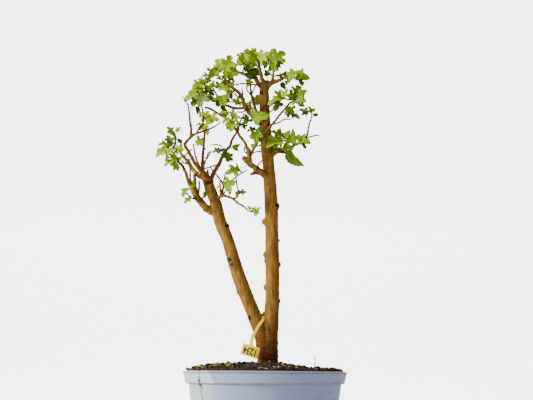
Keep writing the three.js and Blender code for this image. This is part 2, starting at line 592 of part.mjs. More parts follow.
function woodDistance(point) {
  return Math.min(...woodSamples.map(({ centre, radius }) => centre.distanceTo(point) - radius));
}

// A leaf's own directions: along it, across it, and out of its upper face
function leafAxes(base, tip, roll) {
  const forward = tip.clone().sub(base).normalize();
  const facing = new THREE.Vector3(0, -1, facingUp);
  const across = facing.clone().cross(forward).normalize();
  across.applyAxisAngle(forward, THREE.MathUtils.degToRad(roll));
  return { forward, across, out: forward.clone().cross(across) };
}

// Points and triangles of one closed body
function startBody() {
  const positions = [];
  const index = [];
  const point = (place) => positions.push(...place.toArray()) / 3 - 1;
  const face = (...corners) => {
    for (let i = 1; i < corners.length - 1; i += 1) {
      index.push(corners[0], corners[i], corners[i + 1]);
    }
  };
  const finished = () => {
    const geometry = new THREE.BufferGeometry();
    geometry.setAttribute('position', new THREE.Float32BufferAttribute(positions, 3));
    geometry.setIndex(index);
    return solidOf(geometry);
  };
  return { point, face, finished };
}

// Adds one blade and the stalk that joins it to the four corners of an opening in the shoot.
// The outline runs from the right side of the base round the tip to the left side.
function addLeaf(body, opening, [outline, base, tip, roll], grow) {
  const start = vector(base);
  const size = start.distanceTo(vector(tip));
  const { forward, across, out } = leafAxes(start, vector(tip), roll);
  const half = bladeThickness / 2 + grow;
  const margin = 1 + (2.2 * grow) / size;
  const edge = (stalkHalfWidth + grow) / size / margin;
  const right = outline.slice(1, -1);
  const left = right.map(([u, v]) => [u, -v]).reverse();
  const flat = [[0, edge], ...right, outline.at(-1), ...left, [0, -edge], [0.5, 0]];
  const [upper, lower] = [1, -1].map((side) => flat.map(([u, v]) => body.point(start.clone()
    .addScaledVector(forward, size * (0.5 + (u - 0.5) * margin))
    .addScaledVector(across, size * v * margin)
    .addScaledVector(out, side * half + size * (bladeArch * 4 * u * (1 - u)
      + bladeFold * Math.abs(v))))));
  const middle = flat.length - 1;
  const tipPlace = right.length + 1;
  const halves = [
    [...Array.from({ length: tipPlace + 1 }, (_, i) => i), middle],
    [...Array.from({ length: tipPlace + 1 }, (_, i) => tipPlace + i), middle],
  ];
  const corners = [[0, middle - 1, middle]];
  halves.forEach((ring) => {
    const shape = ring.map((i) => new THREE.Vector2(...flat[i]));
    THREE.ShapeUtils.triangulateShape(shape, []).forEach((three) => {
      corners.push(three.map((i) => ring[i]));
    });
  });
  corners.forEach(([a, b, c]) => {
    const turn = (flat[b][0] - flat[a][0]) * (flat[c][1] - flat[a][1])
      - (flat[b][1] - flat[a][1]) * (flat[c][0] - flat[a][0]);
    const [p, q, r] = turn > 0 ? [a, b, c] : [a, c, b];
    body.face(upper[p], upper[q], upper[r]);
    body.face(lower[p], lower[r], lower[q]);
  });
  for (let i = 0; i < middle - 1; i += 1) {
    body.face(upper[i], upper[i + 1], lower[i + 1], lower[i]);
  }
  const end = [upper[0], upper[middle - 1], lower[middle - 1], lower[0]];
  const places = [[edge, 1], [-edge, 1], [-edge, -1], [edge, -1]].map(([v, side]) => (
    start.clone().addScaledVector(across, size * v).addScaledVector(out, side * half)));
  const twist = (turn) => opening.reduce((sum, { place }, i) => (
    sum + place.distanceTo(places[(i + turn) % 4])), 0);
  const turn = [0, 1, 2, 3].reduce((best, one) => (twist(one) < twist(best) ? one : best));
  opening.forEach(({ id }, i) => {
    const next = (i + 1) % 4;
    body.face(id, opening[next].id, end[(next + turn) % 4], end[(i + turn) % 4]);
  });
}

// Moves a point along a direction until it is clear of the wood
function clearOfWood(from, direction) {
  const point = from.clone();
  while (woodDistance(point) < footDepth) point.addScaledVector(direction, 0.1);
  return point;
}

// The leaves of one spray: a short square shoot, with a leaf out of the side of each length that
// faces it, and one leaf out of its end
function spraySolid([, root, leaves], grow = 0) {
  const centre = new THREE.Vector3();
  leaves.forEach(([, base]) => centre.addScaledVector(vector(base), 1 / leaves.length));
  const heading = centre.clone().sub(vector(root)).normalize();
  const foot = clearOfWood(vector(root), heading);
  const end = foot.clone().lerp(centre, leaves.length > 1 ? shootShare : 0);
  const ordered = leaves.map((leaf) => ({
    leaf,
    lean: vector(leaf[1]).sub(foot).normalize().dot(heading),
  })).sort((a, b) => a.lean - b.lean).map(({ leaf }) => leaf);
  const side = new THREE.Vector3(0, 1, 0).cross(heading).normalize();
  const other = heading.clone().cross(side);
  const width = shootHalfWidth + grow;
  const body = startBody();
  const rings = ordered.map((_, i) => [[1, 0], [0, 1], [-1, 0], [0, -1]].map(([a, b]) => {
    const place = foot.clone().lerp(end, leaves.length > 1 ? i / (leaves.length - 1) : 0)
      .addScaledVector(side, a * width).addScaledVector(other, b * width);
    return { place, id: body.point(place) };
  }));
  body.face(...rings[0].map(({ id }) => id).reverse());
  ordered.slice(0, -1).forEach((leaf, i) => {
    const away = vector(leaf[1]).sub(rings[i][0].place);
    const openings = rings[i].map((corner, k) => {
      const next = (k + 1) % 4;
      const quad = [corner, rings[i][next], rings[i + 1][next], rings[i + 1][k]];
      const outward = quad[1].place.clone().sub(corner.place)
        .cross(quad[3].place.clone().sub(corner.place)).normalize();
      return { quad, facing: outward.dot(away) };
    });
    const chosen = openings.reduce((best, one) => (one.facing > best.facing ? one : best));
    openings.forEach((one) => {
      if (one !== chosen) body.face(...one.quad.map(({ id }) => id));
    });
    addLeaf(body, chosen.quad, leaf, grow);
  });
  addLeaf(body, rings.at(-1), ordered.at(-1), grow);
  return body.finished();
}

// The pot: a turned shell with a stepped rim band, and drain holes through its floor
function potSolid() {
  const bandFoot = potHeight - bandDepth;
  const wallTop = rimRadius - bandTaper - bandStep;
  const inner = wallTop - potWall;
  const profile = [
    [0, 0], [footRadius - footBevel, 0], [footRadius, footBevel], [wallTop, bandFoot - 1],
    [rimRadius - bandTaper, bandFoot], [rimRadius, potHeight - 3], [rimRadius - 1, potHeight],
    [rimRadius - 3, potHeight], [rimRadius - bandTaper - potWall - 1, bandFoot + 2],
    [inner, bandFoot - 4], [footRadius - potWall, potFloor], [0, potFloor]];
  const shell = solidOf(new THREE.LatheGeometry(
    profile.map(([r, z]) => new THREE.Vector2(r, z)), potSides).rotateX(Math.PI / 2));
  const holes = Array.from({ length: drainHoles }, (_, i) => {
    const angle = (2 * Math.PI * (i + 0.5)) / drainHoles;
    return solidOf(new THREE.CylinderGeometry(drainHoleRadius, drainHoleRadius, 4 * potFloor, 10)
      .rotateX(Math.PI / 2)
      .translate(drainCircleRadius * Math.cos(angle), drainCircleRadius * Math.sin(angle), 0));
  });
  return shell.subtract(joined(holes));
}

// Radius of the pot's inside at a height
function potInside(z) {
  const bandFoot = potHeight - bandDepth;
  const top = rimRadius - bandTaper - bandStep - potWall;
  return THREE.MathUtils.mapLinear(Math.min(z, bandFoot - 4), potFloor, bandFoot - 4,
    footRadius - potWall, top);
}

// The soil: it fills the pot and rises in a grainy mound round the trunk
function soilSolid() {
  const random = seeded(7);
  const edge = potInside(potHeight) - seatGap;
  const floor = potFloor + seatGap;
  const positions = [];
  const index = [];
  const ring = (radius, height) => {
    for (let spoke = 0; spoke < potSides; spoke += 1) {
      const angle = (2 * Math.PI * spoke) / potSides - Math.PI / 2;
      positions.push(radius * Math.cos(angle), radius * Math.sin(angle), height(angle));
    }
  };
  for (let step = 1; step < soilRings; step += 1) {
    const share = step / soilRings;
    ring(edge * share, () => soilEdgeHeight + moundHeight * (1 - share ** 2.5)
      + grainRelief * (random() - 0.5) * 2);
  }
  ring(edge, () => soilEdgeHeight - 1.5);
  ring(edge, () => potHeight - bandDepth - 4);
  ring(potInside(floor) - seatGap, () => floor);
  const rings = positions.length / 3 / potSides;
  const top = positions.length / 3;
  positions.push(0, 0, soilEdgeHeight + moundHeight);
  positions.push(0, 0, floor);
  for (let spoke = 0; spoke < potSides; spoke += 1) {
    const next = (spoke + 1) % potSides;
    index.push(top, spoke, next);
    for (let row = 0; row < rings - 1; row += 1) {
      const a = row * potSides + spoke;
      const b = row * potSides + next;
      index.push(a, a + potSides, b, b, a + potSides, b + potSides);
    }
    index.push(top + 1, (rings - 1) * potSides + next, (rings - 1) * potSides + spoke);
  }
  const geometry = new THREE.BufferGeometry();
  geometry.setAttribute('position', new THREE.Float32BufferAttribute(positions, 3));
  geometry.setIndex(index);
  return solidOf(geometry);
}

// The tag: a plate with rounded corners, and a flat strap that runs in a loop from its upper edge
function tagSolid() {
  const across = tagAlong.clone().normalize();
  const out = across.clone().cross(tagDown).normalize();
  const down = out.clone().cross(across).normalize();
  const outline = new THREE.Shape();
  outline.absarc(tagCorner, tagCorner, tagCorner, Math.PI, 1.5 * Math.PI);
  outline.absarc(tagLength - tagCorner, tagCorner, tagCorner, -0.5 * Math.PI, 0);
  outline.absarc(tagLength - tagCorner, tagWidth - tagCorner, tagCorner, 0, 0.5 * Math.PI);
  outline.absarc(tagCorner, tagWidth - tagCorner, tagCorner, 0.5 * Math.PI, Math.PI);
  const plate = new THREE.ExtrudeGeometry(outline, {
    depth: tagThickness, bevelEnabled: false, curveSegments: 2,
  });
  plate.applyMatrix4(new THREE.Matrix4().makeBasis(across, down, out).setPosition(tagTopLeft));
  const route = new THREE.CatmullRomCurve3(strapRoute.map(vector), true, 'centripetal');
  const section = new THREE.Shape([
    new THREE.Vector2(-strapThickness / 2, -strapWidth / 2),
    new THREE.Vector2(strapThickness / 2, -strapWidth / 2),
    new THREE.Vector2(strapThickness / 2, strapWidth / 2),
    new THREE.Vector2(-strapThickness / 2, strapWidth / 2)]);
  const strap = new THREE.ExtrudeGeometry(section, { steps: 22, extrudePath: route });
  return solidOf(plate).add(solidOf(strap));
}

const materials = {
  pot: new THREE.MeshStandardMaterial({ color: 0xaebfca, roughness: 0.55, metalness: 0 }),
  soil: new THREE.MeshStandardMaterial({ color: 0x4a3323, roughness: 1, metalness: 0 }),
  bark: new THREE.MeshStandardMaterial({ color: 0x8a6428, roughness: 0.85, metalness: 0 }),
  leaf: new THREE.MeshStandardMaterial({ color: 0x8db010, roughness: 0.55, metalness: 0 }),
  leafShade: new THREE.MeshStandardMaterial({ color: 0x557608, roughness: 0.6, metalness: 0 }),
  dryLeaf: new THREE.MeshStandardMaterial({ color: 0x1c1f12, roughness: 0.9, metalness: 0 }),
  tag: new THREE.MeshStandardMaterial({ color: 0xf5d90a, roughness: 0.45, metalness: 0 }),
  stalk: new THREE.MeshStandardMaterial({ color: 0xb0a48c, roughness: 0.9, metalness: 0 }),
};

// A spray takes the colour that most of its leaves have
function sprayMaterial([, , leaves]) {
  if (leaves.some((leaf) => leaf[4] === dry)) return materials.dryLeaf;
  const shaded = leaves.filter((leaf) => leaf[4] === dark).length;
  return shaded * 2 > leaves.length ? materials.leafShade : materials.leaf;
}

const wood = woodSolid(0);
const woodMargin = woodSolid(seatGap);
const tree = new THREE.Group();
tree.add(meshOf('wood', wood, materials.bark));

// Each spray is cut clear of the wood and of the sprays before it
const placed = [];
sprays.forEach((spray) => {
  let solid = spraySolid(spray).subtract(woodMargin);
  const reach = solid.boundingBox();
  placed.filter(({ box }) => [0, 1, 2].every((i) => (
    box.min[i] < reach.max[i] && box.max[i] > reach.min[i]
  ))).forEach(({ margin }) => {
    solid = solid.subtract(margin);
  });
  solid = largestBody(solid);
  const margin = spraySolid(spray, seatGap / 2);
  placed.push({ box: margin.boundingBox(), margin });
  tree.add(meshOf(`leaves_${spray[0]}`, solid, sprayMaterial(spray)));
});

const stalkHole = solidOf(limbGeometry(stalkRoute, [stalkRadius, stalkRadius], 6, 3, seatGap));
tree.add(meshOf('dry_stalk', solidOf(limbGeometry(stalkRoute, [stalkRadius, stalkRadius * 0.6], 5, 3)),
  materials.stalk));
tree.add(meshOf('tag', tagSolid(), materials.tag));

const pot = new THREE.Group();
pot.add(meshOf('pot', potSolid(), materials.pot));
pot.add(meshOf('soil', soilSolid().subtract(woodMargin).subtract(stalkHole), materials.soil));

const bonsai = new THREE.Group();
bonsai.add(pot, tree);

export default bonsai;
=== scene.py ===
"""A white mulberry bonsai in its round nursery pot, drawn over its solids.

Metres, Z up. The origin is the centre of the pot's underside, and the side that the photo shows
faces -Y. Rows of points are in millimetres, as they were measured.
"""
import json
import math
import random

import bmesh
import bpy
from mathutils import Matrix, Vector, kdtree, noise


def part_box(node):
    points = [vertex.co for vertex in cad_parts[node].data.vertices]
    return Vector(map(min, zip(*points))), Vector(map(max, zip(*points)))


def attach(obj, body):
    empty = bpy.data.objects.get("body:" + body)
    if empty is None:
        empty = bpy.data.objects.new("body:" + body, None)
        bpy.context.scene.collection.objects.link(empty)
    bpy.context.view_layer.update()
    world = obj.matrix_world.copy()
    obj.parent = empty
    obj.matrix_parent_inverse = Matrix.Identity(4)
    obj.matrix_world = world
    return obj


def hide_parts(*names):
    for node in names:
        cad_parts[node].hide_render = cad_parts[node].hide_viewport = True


bl_info = {
    "name": "Potted Mulberry Bonsai",
    "version": (1, 0, 0),
    "blender": (4, 5, 0),
    "location": "3D View > Sidebar > Bonsai",
    "description": "Makes a mulberry bonsai with its pot, soil, leaves and tag",
    "category": "Add Mesh",
}

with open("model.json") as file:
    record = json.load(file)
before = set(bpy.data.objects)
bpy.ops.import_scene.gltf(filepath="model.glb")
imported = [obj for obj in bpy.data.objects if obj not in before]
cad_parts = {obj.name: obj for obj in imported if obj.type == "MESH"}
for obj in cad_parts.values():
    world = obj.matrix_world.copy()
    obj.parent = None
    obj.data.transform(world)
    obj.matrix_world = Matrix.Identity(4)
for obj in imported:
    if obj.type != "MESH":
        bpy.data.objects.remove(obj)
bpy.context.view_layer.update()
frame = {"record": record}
POT_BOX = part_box("pot")
SOIL_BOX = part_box("soil")
SOIL_EDGE = SOIL_BOX[1][1]
RIM_EDGE = min(SOIL_EDGE + 0.0055, POT_BOX[1][1] - 0.004)

MM = 0.001
BODY = "root"

# Steps along the lines that limbs and the strap follow
TRUNK_STEP = 4 * MM
LIMB_STEP = 2.2 * MM
STRAP_STEP = 1.8 * MM

# Wood: the gap between buds, the root radius above which a branch shares the trunks' skin, how
# far right of the pot's middle the foot stands, and where the bark turns red towards the soil
BUD_SPACING = 9.5 * MM
SKIN_RADIUS = 1.9 * MM
FOOT_X = 4 * MM
RED_HEIGHT = 262 * MM

# Sprays are filled twice as densely above this height, in mm
DENSE_HEIGHT = 596

# Pot: how far its rim lies below the solid's, its band, the wall's foot as (radius, height), and
# the drain holes with the circle that they stand on
RIM_DROP = 1.2 * MM
BAND_DEPTH = 17.3 * MM
WALL_FOOT = (87.3 * MM, 4.5 * MM)
WALL_STEPS = 12
POT_SIDES = 160
DRAIN_COUNT = 5
DRAIN_RADIUS = 6 * MM
DRAIN_CIRCLE = 58 * MM

# Soil: its facets, its foot's radius, and the disc round the trunk that no chip lies on
SOIL_SIDES = 200
SOIL_RINGS = 60
SOIL_FOOT = 84.4 * MM
BARE_RADIUS = 13 * MM
MOSS_ROOT = 0.8 * MM

# Tag: its plate, the plate's corners and bow, and half the strap's width and thickness
TAG_LENGTH = 26 * MM
TAG_WIDTH = 16.4 * MM
TAG_CORNER = 1.6 * MM
TAG_BOW = 0.6 * MM
STRAP_HALF = 1.9
STRAP_NECK = 1.2
STRAP_THICK = 0.4 * MM

# Camera: where it stands in metres, its tilt and roll in degrees, and its lens in mm
CAMERA_PLACE = (0.0006, -1.5, 0.182)
CAMERA_TILT = 10.1
CAMERA_ROLL = 0.36
CAMERA_LENS = 68.15

# Kinds of leaf colour, and the kind that the underside of each one shows
# Bright and dark are painted light and painted shade: lit and shaded copies of the green leaf
KINDS = ("bright", "green", "dark", "pale", "dry")
BRIGHT, GREEN, DARK, PALE, DRY = range(len(KINDS))
UNDERSIDES = (PALE, PALE, GREEN, PALE, DRY)
STEM = len(KINDS)

# Half outlines of a leaf by its number of lobes, from base to tip, as
# (along, across, where its vein leaves the midrib)
OUTLINES = {
    5: [(0, 0, 0), (0.02, 0.37, 0.03), (0.26, 0.17, 0.16), (0.43, 0.5, 0.24), (0.62, 0.42, 0.4),
        (0.57, 0.15, 0.52), (0.84, 0.2, 0.72), (1, 0, 1)],
    3: [(0, 0, 0), (0.02, 0.27, 0.03), (0.3, 0.45, 0.16), (0.47, 0.18, 0.42),
        (0.78, 0.21, 0.66), (1, 0, 1)],
    1: [(0, 0, 0), (0.12, 0.2, 0.06), (0.44, 0.27, 0.3), (0.78, 0.15, 0.66), (1, 0, 1)],
}

# Trunk axes from the foot upwards, with the radius at each point
MAIN_TRUNK = [
    (5, 1, 183), (5, 1, 205), (6, 1, 225), (7, 1, 249), (9, 0, 272), (10, -1, 298), (10, -2, 352),
    (9, -1, 397), (8, 1, 434), (6, 2, 471), (4, 2, 496), (1, 1, 527), (-1, 0, 558), (-3, 0, 586),
    (-4, 0, 612), (-4, 0, 626)]
MAIN_RADII = [15.5, 13.4, 11.9, 10.8, 10, 9.4, 9.5, 8.9, 9.2, 9, 8, 9, 7.2, 7.2, 7.1, 5.8]
LEFT_TRUNK = [
    (2, 0, 193), (-1, 0, 222), (-6, -1, 248), (-15, -3, 272), (-26, -5, 298), (-42, -7, 339),
    (-57, -9, 387), (-68, -10, 413), (-75, -10, 441), (-85, -10, 466), (-88, -10, 480)]
LEFT_RADII = [11.5, 10.5, 9.6, 9.3, 9.1, 9, 8.2, 8.5, 7.8, 7.2, 7]

# Knobs on the bark as (x, y, z, radius)
KNOBS = [
    (15, -3, 439.5, 5.8), (-0.8, -2, 416, 5.6), (19.6, 0, 387.5, 2.2), (0.6, -2, 366, 5.2),
    (0.8, -2, 357, 3.8), (17.6, 0, 352, 5.2), (1.6, -2, 317, 5.2), (17.4, 0, 298, 5.2),
    (0.2, -3, 277, 5), (-7, -2, 569, 6.6), (-59.4, -11.6, 407, 5), (-49.6, -11, 354.5, 5),
    (-37.6, -6, 309, 4.8), (-20.5, -6, 270, 4.4), (-87, -10, 475, 8.6), (-8, -3, 616, 3.8)]

# Healed cuts and dark eyes in the bark as (x, y, z, reach)
SCARS = [
    (16.5, -8, 440, 4.8), (18, -6.5, 433.5, 3.6), (-5, -4, 410.5, 3.2), (-3, -5.5, 361.5, 3),
    (-2.2, -4.5, 354, 2.6), (20.8, -4, 350.5, 3.2), (20.4, -4, 295.5, 3.2),
    (10.8, -10.8, 310.3, 2.6), (7, -12.6, 253, 3), (-3, -6, 271, 2.8), (-58.6, -15.6, 406.5, 4.6),
    (-53.4, -15.2, 356.5, 5), (-49.4, -16, 349.5, 2.6), (-41, -8, 311.5, 4),
    (-23.4, -9.8, 271, 4.6), (-9, -7, 566, 3),
    (-3, -8.4, 571, 4.4), (3, -7.4, 565, 4), (-8, -6, 615, 4.8), (-93, -14.5, 475, 3),
    (-89, -18, 471.5, 3.4), (-85, -18, 471.5, 3.4), (-82, -15.5, 474, 2.8)]

# Branches and twigs with ; between them: radius at the root and at the end, then the axis points
LIMBS = """
3 1.2, -87 -10 474, -88 -12 484, -88 -13 493;
4.6 3, -73 -9 427, -88 -11 433, -98 -14 444, -104 -17 451, -110 -21 463, -113 -24 470;
2.1 1.2, -112 -22 465, -116 -26 472, -120 -32 485, -125 -36 494, -129 -39 498, -133 -43 505,
-139 -48 514, -135 -45 524, -135 -42 539;
1.6 1.1, -112 -22 465, -113 -22 472, -114 -18 483, -115 -14 499;
2.4 1.7, -98 -14 443, -101 -17 450, -106 -14 464, -108 -7 481, -109 -4 487;
1.3 0.9, -102 -16 453, -100 -21 464, -100 -24 474;
0.9 0.7, -109 -6 484, -104 -12 488, -98 -17 491;
1 0.7, -103 -16 447, -109 -20 447, -114 -25 450, -119 -28 454;
0.9 0.7, -100 -14 444, -94 -20 449, -89 -24 450;
3.2 1.3, -89 -10 476, -95 -7 481, -103 0 487, -111 7 496, -117 12 505, -122 16 513, -128 19 520,
-133 21 527, -132 22 537, -132 23 547;
1.4 0.9, -117 12 507, -127 8 508, -130 6 511;
1.4 1, -117 12 505, -118 8 515;
0.9 0.6, -126 18 519, -120 14 526, -114 12 530;
2.3 0.9, -89 -12 477, -99 -17 491, -107 -20 501, -114 -23 513, -120 -25 523, -123 -26 527,
-119 -27 533, -111 -28 541, -104 -28 545, -91 -28 550, -83 -27 553, -76 -26 558, -69 -25 563;
1.7 0.7, -114 -27 538, -113 -31 552, -115 -33 564, -116 -34 576, -119 -33 589, -123 -32 595,
-128 -31 602;
1.3 0.8, -105 -28 544, -100 -31 554, -96 -32 558, -96 -35 579, -98 -36 585;
1.3 0.8, -90 -10 477, -100 -5 497, -107 1 513, -111 6 530, -112 8 537;
2.1 1.3, -89 -10 476, -96 -12 495, -96 -10 516, -95 -7 535, -94 -4 553, -91 -2 563;
1.5 0.9, -89 -12 480, -94 -20 493, -92 -23 502, -89 -26 509, -87 -28 518;
1 0.7, -89 -25 507, -82 -32 518;
0.9 0.6, -95 -12 494, -91 -4 497, -85 1 500, -79 4 503, -70 7 507;
2.8 1.2, -87 -9 473, -82 -5 483, -79 0 492, -73 7 504, -68 13 518, -62 18 530, -56 21 537,
-55 23 544, -52 25 551, -47 28 561, -45 30 573;
2 0.9, -75 -10 448, -67 -20 451, -61 -26 451, -48 -33 444, -41 -38 437, -33 -42 432, -24 -47 424,
-12 -52 422;
1.2 0.6, -50 -32 445, -43 -30 448, -41 -28 456, -43 -27 464, -45 -26 477;
1.2 0.8, -68 -19 451, -68 -22 460, -69 -26 473;
1.3 0.6, -65 -21 451, -65 -17 461, -64 -14 467, -66 -11 473, -76 -1 488, -82 3 495, -86 5 502;
1.1 0.6, -64 -15 466, -60 -20 473, -52 -24 474, -42 -28 481, -28 -32 489;
0.8 0.5, -65 -12 470, -61 -14 489;
0.8 0.6, -64 -23 451, -61 -26 457;
4 2.7, 6 2 482, -3 -4 487, -12 -9 493, -21 -13 499, -27 -15 503, -35 -18 511;
2 1.7, -11 -7 489, -18 -10 488, -24 -13 486;
2.5 2, -24 -13 499, -25 -17 510, -27 -19 517, -27 -20 525;
2 1.4, -27 -19 517, -32 -20 532, -40 -19 543, -46 -18 553, -57 -16 566, -68 -14 576, -77 -12 582,
-86 -10 588, -94 -9 591;
1.8 1.2, -25 -16 510, -21 -20 520, -15 -24 530, -7 -27 542, 4 -28 554, 14 -27 567, 25 -24 582,
31 -22 590, 35 -20 595, 44 -18 601;
0.9 0.7, 43 -18 601, 34 -15 602, 25 -12 604;
0.9 0.6, 42 -18 600, 44 -17 609, 41 -15 617;
0.9 0.7, 8 -28 559, 19 -32 562, 25 -34 565, 38 -37 566;
0.9 0.8, -28 -18 516, -33 -16 521, -33 -14 528;
0.9 0.7, -23 -19 517, -17 -18 519, -9 -16 521;
0.9 0.7, -18 -23 526, -12 -26 527, -8 -28 528;
0.9 0.7, -15 -10 495, -11 -14 502, -6 -17 507;
3.8 3.1, 0 0 516, 9 2 521, 15 4 526, 20 6 530;
2 1, 16 5 526, 26 8 525, 32 9 525, 41 11 536, 49 12 540, 56 13 547, 59 13 549, 63 13 554,
64 13 562, 66 12 571, 69 11 580, 70 10 593;
0.9 0.6, 59 13 548, 69 16 552, 81 18 555;
1 0.7, 23 7 525, 27 3 534, 30 -1 539;
1.2 0.9, 4 -4 527, 9 -11 531, 13 -14 533;
3.2 1.3, -4 0 569, -15 -7 572, -27 -13 583, -33 -17 591, -37 -20 601, -42 -22 610, -53 -25 618,
-60 -26 626, -64 -26 633, -65 -26 640;
2 1.1, -33 -16 589, -41 -13 588, -51 -9 590, -59 -5 594, -70 0 600, -77 3 605, -85 6 610,
-91 8 612, -94 8 621, -96 8 632, -93 8 640, -84 6 645;
1 0.7, -77 3 605, -78 6 616, -83 8 626;
1 0.7, -36 -18 595, -37 -15 609, -38 -12 621;
0.9 0.7, -38 -20 602, -45 -24 604, -51 -29 611;
0.9 0.7, -35 -19 597, -42 -12 597, -48 -10 599, -56 -8 599;
0.9 0.7, -30 -15 587, -36 -22 580, -45 -27 579;
1 0.7, -43 -18 548, -40 -23 564, -34 -27 576;
2.1 1.1, -5 0 578, -15 4 587, -20 8 603, -23 10 613, -25 12 625, -26 14 635, -28 15 645;
1 0.7, -21 9 607, -24 5 614, -29 3 619, -32 1 625;
0.9 0.7, -23 11 619, -17 17 634;
3.3 1.3, -4 0 615, -7 3 624, -14 8 636, -19 11 644, -26 14 646, -33 16 650, -41 18 654,
-47 20 657, -52 21 666;
1.7 1, -15 9 640, -17 9 646, -20 8 654;
1 0.7, -38 18 653, -36 14 664, -36 12 671;
1 0.6, -9 5 627, -15 0 629, -23 -4 629, -37 -8 629, -48 -11 626;
3 1.6, -4 0 616, -4 -2 630, -8 -5 639, -10 -7 648, -12 -9 657, -12 -10 664;
3.4 1.4, -4 0 615, 0 -1 624, 5 -3 630, 12 -6 632, 22 -9 636, 28 -12 638, 32 -14 640;
2.1 1, 6 -3 629, 9 -8 638, 10 -11 647, 8 -13 657;
1.1 0.8, 10 -8 640, 3 -2 649, 5 3 663;
1.1 0.7, -3 0 588, 2 -8 590, 7 -12 594, 13 -15 598, 22 -18 600;
0.9 0.7, -2 0 582, 5 7 588, 10 10 594
"""
